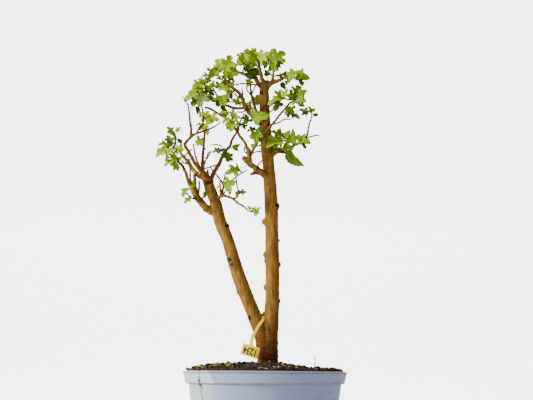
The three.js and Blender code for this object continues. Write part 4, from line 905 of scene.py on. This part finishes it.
def add_buds(bm, line, length, seed):
    """Small pointed buds on alternating sides of a twig."""
    random_ = random.Random(seed)
    shape = ball(1)
    travelled = 0.0
    side = random_.random() * math.tau
    for (a, radius), (b, _) in zip(line, line[1:]):
        before = travelled
        travelled += (b - a).length
        if round_half_up(travelled / BUD_SPACING) == round_half_up(before / BUD_SPACING):
            continue
        tangent = (b - a).normalized()
        side += math.pi + random_.uniform(-0.6, 0.6)
        out = Matrix.Rotation(side, 3, tangent) @ tangent.orthogonal().normalized()
        size = length * random_.uniform(0.7, 1.15)
        lump(bm, shape, a + out * (radius + size * 0.16) + tangent * size * 0.2,
             (size * 0.34, size * 0.34, size * 0.5),
             turn_to(out + tangent * 1.1), 0.15, random_.random())


def bark_relief(mesh, tree, radii, height):
    """Moves the skin in and out along its normals: ridges, low rings near the soil, and scars."""
    scars = [(Vector(s[:3]) * MM, s[3] * MM) for s in SCARS]
    moved = []
    scarred = []
    young = []
    for vert in mesh.vertices:
        place = vert.co
        _, index, _ = tree.find(place)
        radius = radii[index]
        share = min(1.0, max(0.12, (radius - 0.0008) / 0.006))
        low = clamp((RED_HEIGHT - place.z) / 0.04)
        ridge = noise.fractal(Vector((place.x * 260, place.y * 260, place.z * 70)), 0.8, 2.1, 3)
        ring = noise.noise(Vector((place.x * 40, place.y * 40, place.z * 330)))
        rise = height * share * (ridge + ring * (0.5 + 2.8 * low))
        mark = 0.0
        for centre, reach in scars:
            gap = (place - centre).length / reach
            if gap < 2.2:
                gap += 0.45 * noise.noise(place * 420) + 0.2 * noise.noise(place * 1300)
                rise += 0.0006 * math.exp(-((gap - 0.95) / 0.35) ** 2)
                rise -= 0.0009 * math.exp(-(gap / 0.55) ** 2)
                mark = max(mark, 1.25 - gap * 1.1)
        moved.append(rise)
        scarred.append(clamp(mark))
        young.append(1 - clamp((radius - 0.0013) / 0.0024))
    places = [vert.co + vert.normal * rise for vert, rise in zip(mesh.vertices, moved)]
    mesh.vertices.foreach_set("co", [value for place in places for value in place])
    mesh.update()
    attribute_values(mesh, "scar", scarred)
    attribute_values(mesh, "young", young)


def make_wood(sizes, material):
    """Both trunks with every branch, as one piece."""
    thick = bmesh.new()
    thin = []
    budded = []
    samples = []
    for index, (line, sides) in enumerate(limb_lines(sizes)):
        samples += line
        if index < 2:
            sweep(thick, line, sides)
        elif line[0][1] > SKIN_RADIUS:
            sweep(thick, knotted(line, index), sides)
            budded.append((index, line[4:]))
        else:
            thin.append((index, knotted(line, index)))
    knob = ball(3)
    for i, (*place, radius) in enumerate(KNOBS):
        lump(thick, knob, Vector(place) * MM, [radius * MM] * 3, Matrix.Identity(3), 0.12, i)
    piece = object_of(thick, "bark", [material])
    remesh = piece.modifiers.new("skin", "REMESH")
    remesh.mode = "VOXEL"
    remesh.voxel_size = sizes.bark_voxel
    calm = piece.modifiers.new("calm", "SMOOTH")
    calm.factor = 0.5
    calm.iterations = 3
    apply_modifiers(piece)
    bm = bmesh.new()
    for index, line in thin:
        sweep(bm, line, 8)
        add_buds(bm, line, sizes.twig_bud, index)
    for index, line in budded:
        add_buds(bm, line, sizes.twig_bud * 1.15, index)
    bmesh.ops.recalc_face_normals(bm, faces=bm.faces)
    bm.from_mesh(piece.data)
    bm.to_mesh(piece.data)
    bm.free()
    tree = kdtree.KDTree(len(samples))
    for i, (place, _) in enumerate(samples):
        tree.insert(place, i)
    tree.balance()
    bark_relief(piece.data, tree, [radius for _, radius in samples], sizes.bark_relief)
    piece.data.polygons.foreach_set("use_smooth", [True] * len(piece.data.polygons))
    return piece


def refined(outline, tooth):
    """A half outline in small steps with teeth, still as (along, across, place on the midrib)."""
    rows = [Vector(p) for p in outline]
    ends = [rows[0], *rows, rows[-1]]
    out = []
    for i in range(len(rows) - 1):
        p0, p1, p2, p3 = ends[i:i + 4]
        for k in range(4):
            t = k / 4
            smooth = 0.5 * (2 * p1 + (p2 - p0) * t + (2 * p0 - 5 * p1 + 4 * p2 - p3) * t * t
                            + (3 * p1 - p0 - 3 * p2 + p3) * t ** 3)
            place = p1.lerp(p2, t) * 0.35 + smooth * 0.65
            place.z = p1.z + (p2.z - p1.z) * t
            edge = (p2 - p1).to_2d()
            outward = Vector((-edge.y, edge.x)).normalized()
            if outward.y < -0.2:
                outward = -outward
            if k % 2 and i:
                place.x += outward.x * tooth
                place.y += outward.y * tooth
            place.y = max(place.y, 0.012 if i or k else 0)
            out.append(place)
    return [*out, rows[-1]]


def add_leaf(bm, uv, leaf, sizes, random_, slots):
    """A blade with two faces and a rim, on the places that the solid's blade has."""
    outline, base, tip, roll, _ = leaf
    start = Vector(base) * MM
    end = Vector(tip) * MM
    size = (end - start).length
    forward = (end - start).normalized()
    across = Vector((0, -1, 0.36)).cross(forward).normalized()
    across = Matrix.Rotation(math.radians(roll), 3, forward) @ across
    out = forward.cross(across)
    half = sizes.leaf_thickness / 2
    wave = random_.uniform(0.018, 0.045)
    phase = random_.uniform(0, math.tau)
    droop = random_.uniform(0.02, 0.1)
    seed = random_.random() * 50
    rays = refined(outline, sizes.leaf_tooth)
    shares = (0.0, 0.1, 0.4, 0.72, 1.0)

    def place(u, v, side):
        height = 0.32 * u * (1 - u) + 0.27 * abs(v) - droop * v * v * 2 - droop * u ** 3 * 0.6
        height += wave * math.sin(u * 9 + phase + v * 5) * min(1.0, abs(v) * 3)
        height += 0.02 * noise.noise(Vector((u * 4, v * 4, seed)))
        return start + forward * size * u + across * size * v + out * (size * height + side * half)

    last = len(rays) - 1
    edge = len(shares) - 1
    sides = [(side, wing) for side in (1, -1) for wing in (1, -1)]
    grid = {}
    for side, wing in sides:
        for i, (u, v, foot) in enumerate(rays):
            spread = 1 + 0.34 * noise.noise(Vector((i * 0.42, wing * 3.7, seed)))
            for k, share in enumerate(shares if 0 < i < last else shares[:1]):
                if k == 0 and wing < 0:
                    grid[side, wing, i, k] = grid[side, 1, i, 0]
                    continue
                spot = (foot + (u - foot) * share, wing * v * share * spread)
                grid[side, wing, i, k] = (bm.verts.new(place(*spot, side)), spot)

    def face(corners, flip, slot):
        corners = list(dict.fromkeys(
            grid[side, wing, i, k if 0 < i < last else 0] for side, wing, i, k in corners))
        if len(corners) < 3:
            return
        if flip:
            corners.reverse()
        made = bm.faces.new([vert for vert, _ in corners])
        made.material_index = slot
        for loop, (_, spot) in zip(made.loops, corners):
            loop[uv].uv = spot

    for side, wing in sides:
        for i in range(last):
            for k in range(edge):
                face([(side, wing, a, b) for a, b in (
                    (i, k), (i + 1, k), (i + 1, k + 1), (i, k + 1))],
                    side * wing > 0, slots[0] if side > 0 else slots[1])
    for wing in (1, -1):
        for i in range(last):
            face([(side, wing, a, edge) for side, a in ((1, i), (1, i + 1), (-1, i + 1), (-1, i))],
                 wing > 0, slots[0])
    return start, forward


def shaded_leaves(leaves, random_):
    """Smaller leaves that fill a dense spray behind the ones in front."""
    behind = []
    full = [leaf for leaf in leaves for _ in range(2 if leaf[1][2] > DENSE_HEIGHT else 1)]
    for outline, base, tip, _, kind in full:
        reach = Vector(tip) - Vector(base)
        if kind == DRY or reach.length < 11:
            continue
        angle = random_.choice((-1, 1)) * random_.uniform(24, 46)
        start = Vector(base) + reach * 0.12 + Vector((0, random_.uniform(6, 9), -2))
        turn = Matrix.Rotation(math.radians(angle), 3, "Y")
        end = start + turn @ reach * random_.uniform(0.6, 0.8)
        # Painted shade: the leaves behind are coloured green or dark, a step darker than the leaves
        # in front
        shade = GREEN if kind == BRIGHT and random_.random() < 0.6 else DARK
        behind.append((outline, start, end, random_.uniform(-25, 25), shade))
    return behind


def make_spray(name, root, leaves, sizes, materials):
    """One shoot with its leaves and stalks."""
    random_ = random.Random(name)
    if len(leaves) > 2:
        leaves = [*leaves, *shaded_leaves(leaves, random_)]
    bm = bmesh.new()
    uv = bm.loops.layers.uv.new("leaf")
    foot = Vector(root) * MM
    centre = sum((Vector(leaf[1]) for leaf in leaves), Vector()) / len(leaves) * MM
    end = foot.lerp(centre, 0.6 if len(leaves) > 1 else 0.15)
    ends = []
    for leaf in leaves:
        slots = (leaf[4], UNDERSIDES[leaf[4]])
        start, forward = add_leaf(bm, uv, leaf, sizes, random_, slots)
        ends.append((start, forward, (Vector(leaf[2]) * MM - start).length))
    ends.sort(key=lambda item: (item[0] - foot).length)
    first = len(bm.faces)
    radius = sizes.stalk_radius
    if (end - foot).length > 0.001:
        sweep(bm, [(foot.lerp(end, k / 4), radius * (1.9 - 0.9 * k / 4)) for k in range(5)], 6)
    for i, (start, forward, size) in enumerate(ends):
        source = foot.lerp(end, (i + 1) / len(ends)) if len(ends) > 1 else foot
        middle = (source + start) / 2 - forward * (start - source).length * 0.12
        into = start + forward * min(size * 0.12, 0.003)
        curve = [source, middle, start, into]
        line = [a.lerp(b, k / 3) for a, b in zip(curve, curve[1:]) for k in range(3)] + [into]
        count = len(line) - 1
        sweep(bm, [(p, radius * (1.1 - 0.6 * k / count)) for k, p in enumerate(line)], 5)
    bm.faces.ensure_lookup_table()
    for polygon in bm.faces[first:]:
        polygon.material_index = DRY if leaves[0][4] == DRY else STEM
    return object_of(bm, f"spray_{name}", materials)


def make_pot(sizes, material):
    """The pot: a thin tapered shell with a stepped band, a rolled lip and drain holes."""
    top = sizes.pot_height - RIM_DROP
    rim = sizes.rim_radius
    band = top - BAND_DEPTH
    wall = [WALL_FOOT, (rim - 8 * MM, band - 1.2 * MM)]
    # The outline of a cut through the wall, in mm: the foot and the inner floor are measured from
    # the pot's middle and underside, the rest from the rim's radius and its band or its top
    profile = [(r * MM, z * MM) for r, z in (
        (0, 0.9), (70, 0.9), (72, 0), (82, 0), (85.4, 0.5), (86.8, 2), (87.3, 4.5))]
    profile += [[a + (b - a) * k / WALL_STEPS for a, b in zip(*wall)]
                for k in range(1, WALL_STEPS + 1)]
    profile += [(rim + r * MM, band + z * MM) for r, z in (
        (-7.7, -0.5), (-3.7, -0.1), (-3, 0.3), (-2.9, 1.2),
        *((3 * k / 4 - 2.9, 1.2 + 13.2 * k / 4) for k in range(1, 5)))]
    profile += [(rim + r * MM, top + z * MM) for r, z in (
        (0.4, -2.5), (0.9, -2), (1, -1), (0.4, -0.2), (-1.4, 0), (-2.6, -0.4), (-3.2, -2))]
    profile += [(rim - 6 * MM, band + 2 * MM), (rim - 10 * MM, band - 4 * MM),
                (85.2 * MM, 5 * MM), (83 * MM, 3 * MM), (0, 3 * MM)]
    bm = bmesh.new()
    bridge(bm, *(circle(bm, radius, POT_SIDES, height) for radius, height in profile))
    piece = object_of(bm, "pot_shell", [material])
    drills = bmesh.new()
    for i in range(DRAIN_COUNT):
        angle = math.tau * (i + 0.5) / DRAIN_COUNT
        made = bmesh.ops.create_cone(
            drills, cap_ends=True, segments=28, radius1=DRAIN_RADIUS, radius2=DRAIN_RADIUS,
            depth=14 * MM)
        for vert in made["verts"]:
            vert.co += Vector((math.cos(angle), math.sin(angle), 0)) * DRAIN_CIRCLE
    tool = object_of(drills, "drills", [material], smooth=False)
    cut = piece.modifiers.new("holes", "BOOLEAN")
    cut.object = tool
    cut.operation = "DIFFERENCE"
    cut.solver = "EXACT"
    apply_modifiers(piece)
    bpy.data.objects.remove(tool)
    piece.data.set_sharp_from_angle(angle=math.radians(38))
    return piece


def soil_height(x, y, sizes):
    """Height of the soil's surface: lumpy, and heaped up from the trunk towards the left."""
    radius = min(1.0, math.hypot(x, y) / RIM_EDGE)
    trunk = math.hypot(x - FOOT_X, y)
    right = clamp((x - 0.005) / 0.065)
    mound = sizes.soil_mound * (1 - 0.7 * right * right * (3 - 2 * right))
    height = sizes.soil_top + mound * (1 - radius ** 4)
    for amount, fineness, layer in ((0.0028, 42, 3.1), (0.0024, 120, 8.3), (0.0008, 420, 1.7)):
        height += amount * noise.noise(Vector((x * fineness, y * fineness, layer)))
    return height + 0.0015 * math.exp(-((trunk - 0.02) / 0.02) ** 2)


def make_soil(sizes, material):
    """The soil as one body that fills the pot."""
    bm = bmesh.new()
    rings = [circle(bm, RIM_EDGE * step / SOIL_RINGS, SOIL_SIDES, 0)
             for step in range(SOIL_RINGS + 1)]
    for ring in rings:
        for vert in ring:
            vert.co.z = soil_height(vert.co.x, vert.co.y, sizes)
    floor = SOIL_BOX[0][2]
    rings += [circle(bm, radius, SOIL_SIDES, height) for radius, height in (
        (SOIL_EDGE, 0.181), (SOIL_EDGE - 0.001, 0.172), (SOIL_FOOT, floor), (0, floor))]
    bridge(bm, *rings)
    return object_of(bm, "soil_body", [material])


def scatter(random_, count, reach):
    """Places over a disc, evenly spread."""
    for _ in range(count):
        angle = random_.uniform(0, math.tau)
        radius = reach * math.sqrt(random_.random())
        yield radius * math.cos(angle), radius * math.sin(angle)


def make_chips(sizes, material):
    """Bark chips, grit and crumbs pressed into the soil's surface."""
    random_ = random.Random(11)
    bm = bmesh.new()
    shape = ball(1)
    shades = []
    for x, y in scatter(random_, sizes.chip_count, RIM_EDGE):
        if math.hypot(x - FOOT_X, y) < BARE_RADIUS:
            continue
        large = random_.random() < 0.12
        size = random_.uniform(*((2.0, 3.6) if large else (0.8, 1.9))) * MM
        radii = (size * random_.uniform(0.8, 1.5), size, size * random_.uniform(0.45, 0.8))
        turn = (Matrix.Rotation(random_.uniform(0, math.tau), 3, "Z")
                @ Matrix.Rotation(random_.uniform(-0.6, 0.6), 3, "X"))
        place = Vector((x, y, soil_height(x, y, sizes) + radii[2] * 0.35))
        made = lump(bm, shape, place, radii, turn, 0.5, random_.random() * 9)
        shades += [random_.random() ** 2.2] * len(made)
    piece = object_of(bm, "soil_chips", [material], smooth=False)
    attribute_values(piece.data, "shade", shades)
    return piece


def make_moss(sizes, material):
    """Moss in cushions left of the trunk, with a few strays elsewhere."""
    random_ = random.Random(23)
    # Cushions as (x, y, reach in metres, height in mm)
    patches = [
        (-0.092, -0.03, 0.013, 2.4), (-0.074, -0.062, 0.012, 2.6), (-0.066, -0.03, 0.012, 3.2),
        (-0.05, -0.07, 0.011, 2.8), (-0.046, -0.03, 0.009, 3.2), (-0.078, 0.02, 0.014, 2.4),
        (0.062, -0.03, 0.008, 2.2), (0.078, 0.0, 0.007, 2.0), (0.03, -0.06, 0.008, 1.8),
        (-0.02, 0.06, 0.014, 2.4), (0.05, 0.05, 0.01, 2.2)]
    weights = [reach ** 2 for _, _, reach, _ in patches]
    bm = bmesh.new()
    for _ in range(sizes.moss_count):
        x0, y0, reach, tall = random_.choices(patches, weights)[0]
        angle = random_.uniform(0, math.tau)
        radius = reach * random_.random() ** 0.6
        x = x0 + radius * math.cos(angle)
        y = y0 + radius * math.sin(angle)
        height = tall * MM * random_.uniform(0.5, 1.1) * (1.1 - 0.6 * radius / reach)
        foot = Vector((x, y, soil_height(x, y, sizes) - MOSS_ROOT))
        lean = Vector((random_.uniform(-0.5, 0.5), random_.uniform(-0.5, 0.5), 1)).normalized()
        side = lean.orthogonal().normalized() * random_.uniform(0.45, 0.8) * MM
        other = lean.cross(side)
        ring = [bm.verts.new(foot + side), bm.verts.new(foot - side * 0.5 + other * 0.87),
                bm.verts.new(foot - side * 0.5 - other * 0.87)]
        waist = [bm.verts.new(v.co + (v.co - foot) * 0.35 + lean * (height * 0.5 + MOSS_ROOT))
                 for v in ring]
        tip = bm.verts.new(foot + lean * (height + MOSS_ROOT))
        bridge(bm, ring, waist, [tip])
        bm.faces.new(reversed(ring))
    return object_of(bm, "moss", [material])


def make_dry_stalk(material):
    """A dry stalk that stands in the soil, with a broken tip and one withered side shoot."""
    bm = bmesh.new()
    line = spline(STALK_ROUTE, [1.1 * MM, 0.65 * MM], 0.0015)
    sweep(bm, knotted(line, 5), 8)
    place = line[len(line) * 3 // 4][0]
    side = [(place + Vector((k * 0.0006, -k * 0.0003, k * 0.0007)), (0.4 - 0.05 * k) * MM)
            for k in range(6)]
    sweep(bm, side, 6)
    return object_of(bm, "dry_stalk_fine", [material])


def tag_bow(x):
    """How far the plate bends towards the front at its ends."""
    return TAG_BOW * (x / TAG_LENGTH * 2 - 1) ** 2


def tag_place(x, y, height):
    """A point of the tag, from its upper left corner and above its front face."""
    across = Vector((24, -1.5, -7.4)).normalized()
    out = across.cross(Vector((4.6, 0, -15.8))).normalized()
    down = out.cross(across)
    corner = Vector((-31.7, -24, 234.5)) * MM
    return corner + across * x + down * y + out * height


def make_tag(material):
    """The tag's plate, with rounded corners and a soft edge, and its strap in a closed loop."""
    bm = bmesh.new()
    corner = TAG_CORNER
    right, foot = TAG_LENGTH - corner, TAG_WIDTH - corner
    outline = []
    for x, y, first in ((corner, corner, 180), (right, corner, 270), (right, foot, 0),
                        (corner, foot, 90)):
        for k in range(7):
            a = math.radians(first + 15 * k)
            outline.append(Vector((x + corner * math.cos(a), y + corner * math.sin(a))))
    centre = Vector((TAG_LENGTH / 2, TAG_WIDTH / 2))
    rings = []
    for inset, height in ((0.3, 0), (0, 0.25), (0, 0.65), (0.3, 0.9)):
        rings.append([bm.verts.new(tag_place(
            *(p + (centre - p).normalized() * inset * MM), height * MM + tag_bow(p.x)))
            for p in outline])
    sunk = tag_place(0, 0, 0.3 * MM) - tag_place(0, 0, 0)
    caps = [[bm.verts.new(sum((v.co for v in ring), Vector()) / len(ring) - sunk)]
            for ring in (rings[0], rings[-1])]
    bridge(bm, caps[0], *rings, caps[1])
    add_strap(bm)
    piece = object_of(bm, "tag_fine", [material])
    piece.data.set_sharp_from_angle(angle=math.radians(45))
    return piece


def add_strap(bm):
    """A flat ribbon round the left trunk. It widens into a neck where it leaves the plate."""
    route = [*STRAP_ROUTE, STRAP_ROUTE[0]]
    line = [place for place, _ in spline(route, [0, 1], STRAP_STEP)][:-1]
    heart = sum(line, Vector()) / len(line)
    count = len(line)
    rings = []
    for i, place in enumerate(line):
        tangent = (line[(i + 1) % count] - line[i - 1]).normalized()
        out = place - heart
        out = (out - tangent * out.dot(tangent)).normalized()
        wide = tangent.cross(out)
        near = min(i, count - i) * STRAP_STEP
        half = (STRAP_HALF + STRAP_NECK * max(0.0, 1 - near / 0.007)) * MM
        rings.append([bm.verts.new(place + wide * a * half + out * b * STRAP_THICK) for a, b in (
            (1, 0.5), (0.9, 1), (-0.9, 1), (-1, 0.5),
            (-1, -0.5), (-0.9, -1), (0.9, -1), (1, -0.5))])
    bridge(bm, *rings, rings[0])


def make_tag_digits(material):
    """Plain counting numbers in dark ink, upside down as the tag hangs."""
    text = bpy.data.curves.new("tag_digits", "FONT")
    text.body = "1234"
    text.size = 14.5 * MM
    text.align_x = "CENTER"
    text.align_y = "CENTER"
    text.extrude = 0.05 * MM
    text.offset = 0.4 * MM
    text.resolution_u = 3
    carrier = link("tag_digits_text", text)
    mesh = final_mesh(carrier)
    bpy.data.objects.remove(carrier)
    for vert in mesh.vertices:
        x = TAG_LENGTH / 2 - vert.co.x * 0.72
        height = tag_bow(x) - 0.03 * MM - vert.co.z
        vert.co = tag_place(x, 8.4 * MM + vert.co.y, height)
    mesh.materials.clear()
    mesh.materials.append(material)
    return link("tag_digits", mesh)


class BONSAI_OT_wood(bpy.types.Operator):
    """Make both trunks with their branches, twigs and buds"""
    bl_idname = "bonsai.wood"
    bl_label = "Make Wood"

    def execute(self, context):
        colours = context.scene.bonsai_colours
        material = bark_material(colours.bark, colours.foot)
        settle(make_wood(context.scene.bonsai_sizes, material), "bark", "wood")
        return {"FINISHED"}


class BONSAI_OT_leaves(bpy.types.Operator):
    """Make every spray of leaves on its shoot"""
    bl_idname = "bonsai.leaves"
    bl_label = "Make Leaves"

    def execute(self, context):
        colours = context.scene.bonsai_colours
        # leaf_bright and leaf_dark are the green leaf with painted light and painted shade
        materials = [
            leaf_material("leaf_bright", colours.bright, (0.5, 0.62, 0.04)),
            leaf_material("leaf_green", colours.green, (0.32, 0.46, 0.02)),
            leaf_material("leaf_dark", colours.dark, (0.14, 0.24, 0.01)),
            leaf_material("leaf_underside", colours.pale, (0.4, 0.5, 0.14), 0.15),
            leaf_material("leaf_withered", (0.012, 0.012, 0.006), (0.03, 0.024, 0.012), 0.25),
            stem_material((0.24, 0.25, 0.01))]
        slots = {row["node"]: row["material_slot"] for row in frame["record"]["subparts"]}
        for name, root, leaves in read_sprays():
            node = f"leaves_{name}"
            piece = make_spray(name, root, leaves, context.scene.bonsai_sizes, materials)
            settle(piece, slots[node], node)
        return {"FINISHED"}


class BONSAI_OT_pot(bpy.types.Operator):
    """Make the plastic pot"""
    bl_idname = "bonsai.pot"
    bl_label = "Make Pot"

    def execute(self, context):
        # The pale colour is painted light on the pot's left side
        material = pot_material(context.scene.bonsai_colours.pot, (0.66, 0.72, 0.64))
        settle(make_pot(context.scene.bonsai_sizes, material), "pot", "pot")
        return {"FINISHED"}


class BONSAI_OT_soil(bpy.types.Operator):
    """Make the soil with its chips, moss and dry stalk"""
    bl_idname = "bonsai.soil"
    bl_label = "Make Soil"

    def execute(self, context):
        sizes = context.scene.bonsai_sizes
        colours = context.scene.bonsai_colours
        soil = soil_material(colours.soil, [min(1.0, c * 3) for c in colours.soil])
        settle(make_soil(sizes, soil), "soil", "soil")
        settle(make_chips(sizes, chip_material()), "soil")
        settle(make_moss(sizes, moss_material(colours.moss)), "soil")
        settle(make_dry_stalk(straw_material()), "dry_stalk", "dry_stalk")
        return {"FINISHED"}


class BONSAI_OT_tag(bpy.types.Operator):
    """Make the yellow tag, its strap and its numbers"""
    bl_idname = "bonsai.tag"
    bl_label = "Make Tag"

    def execute(self, context):
        settle(make_tag(tag_material(context.scene.bonsai_colours.tag)), "tag", "tag")
        settle(make_tag_digits(ink_material()), "tag")
        return {"FINISHED"}


class BONSAI_OT_stage(bpy.types.Operator):
    """Make the floor, the lights and the camera"""
    bl_idname = "bonsai.stage"
    bl_label = "Make Stage"

    def execute(self, context):
        scene = context.scene
        bm = bmesh.new()
        # A floor that curves up into a backdrop far behind
        rows = [(-4, 0), (2.2, 0)] + [
            (2.2 + 0.8 * math.sin(a), 0.8 - 0.8 * math.cos(a))
            for a in (math.radians(15 * k) for k in range(1, 7))] + [(3, 6)]
        lines = [[bm.verts.new((x, y, z)) for x in (-8, 8)] for y, z in rows]
        for here, there in zip(lines, lines[1:]):
            bm.faces.new((*here, *reversed(there)))
        floor = object_of(bm, "floor", [floor_material((0.86, 0.86, 0.86))])
        world = bpy.data.worlds.new("studio")
        world.use_nodes = True
        sky = world.node_tree.nodes["Background"]
        sky.inputs["Color"].default_value = (1.0, 1.0, 1.0, 1.0)
        sky.inputs["Strength"].default_value = 0.3
        scene.world = world
        for name, place, aim, size, power in (
                ("key", (-2.3, -1.05, 1.2), (0, 0, 0.42), 0.7, 105),
                ("front", (0.2, -2.2, 0.9), (0, 0, 0.4), 1.2, 3),
                ("rim", (-1.2, 1.0, 1.7), (0, 0, 0.5), 0.8, 20)):
            light = bpy.data.lights.new(name, "AREA")
            light.shape = "DISK"
            light.size = size
            light.energy = power
            lamp = link(name, light)
            lamp.location = place
            lamp.rotation_euler = (Vector(aim) - Vector(place)).to_track_quat("-Z", "Y").to_euler()
        lens = bpy.data.cameras.new("camera")
        lens.sensor_width = 36.0
        lens.lens = CAMERA_LENS
        camera = link("camera", lens)
        camera.location = CAMERA_PLACE
        camera.rotation_euler = (
            Matrix.Rotation(math.radians(90 + CAMERA_TILT), 3, "X")
            @ Matrix.Rotation(math.radians(CAMERA_ROLL), 3, "Z")).to_euler()
        scene.camera = camera
        return {"FINISHED"}


class BONSAI_PT_panel(bpy.types.Panel):
    """Lists the pieces of the bonsai"""
    bl_idname = "BONSAI_PT_panel"
    bl_label = "Bonsai"
    bl_space_type = "VIEW_3D"
    bl_region_type = "UI"
    bl_category = "Bonsai"

    def draw(self, context):
        for group in (context.scene.bonsai_sizes, context.scene.bonsai_colours):
            box = self.layout.box()
            for name in group.__annotations__:
                box.prop(group, name)
        for operator in OPERATORS:
            self.layout.operator(operator.bl_idname)


OPERATORS = (BONSAI_OT_wood, BONSAI_OT_leaves, BONSAI_OT_pot, BONSAI_OT_soil, BONSAI_OT_tag,
             BONSAI_OT_stage)
CLASSES = (BonsaiSizes, BonsaiColours, *OPERATORS, BONSAI_PT_panel)


def register():
    for cls in CLASSES:
        bpy.utils.register_class(cls)
    bpy.types.Scene.bonsai_sizes = bpy.props.PointerProperty(type=BonsaiSizes)
    bpy.types.Scene.bonsai_colours = bpy.props.PointerProperty(type=BonsaiColours)


def unregister():
    del bpy.types.Scene.bonsai_sizes
    del bpy.types.Scene.bonsai_colours
    for cls in reversed(CLASSES):
        bpy.utils.unregister_class(cls)


def main():
    register()
    bpy.ops.bonsai.stage()
    bpy.ops.bonsai.wood()
    bpy.ops.bonsai.leaves()
    bpy.ops.bonsai.pot()
    bpy.ops.bonsai.soil()
    bpy.ops.bonsai.tag()


if __name__ == "__main__":
    main()
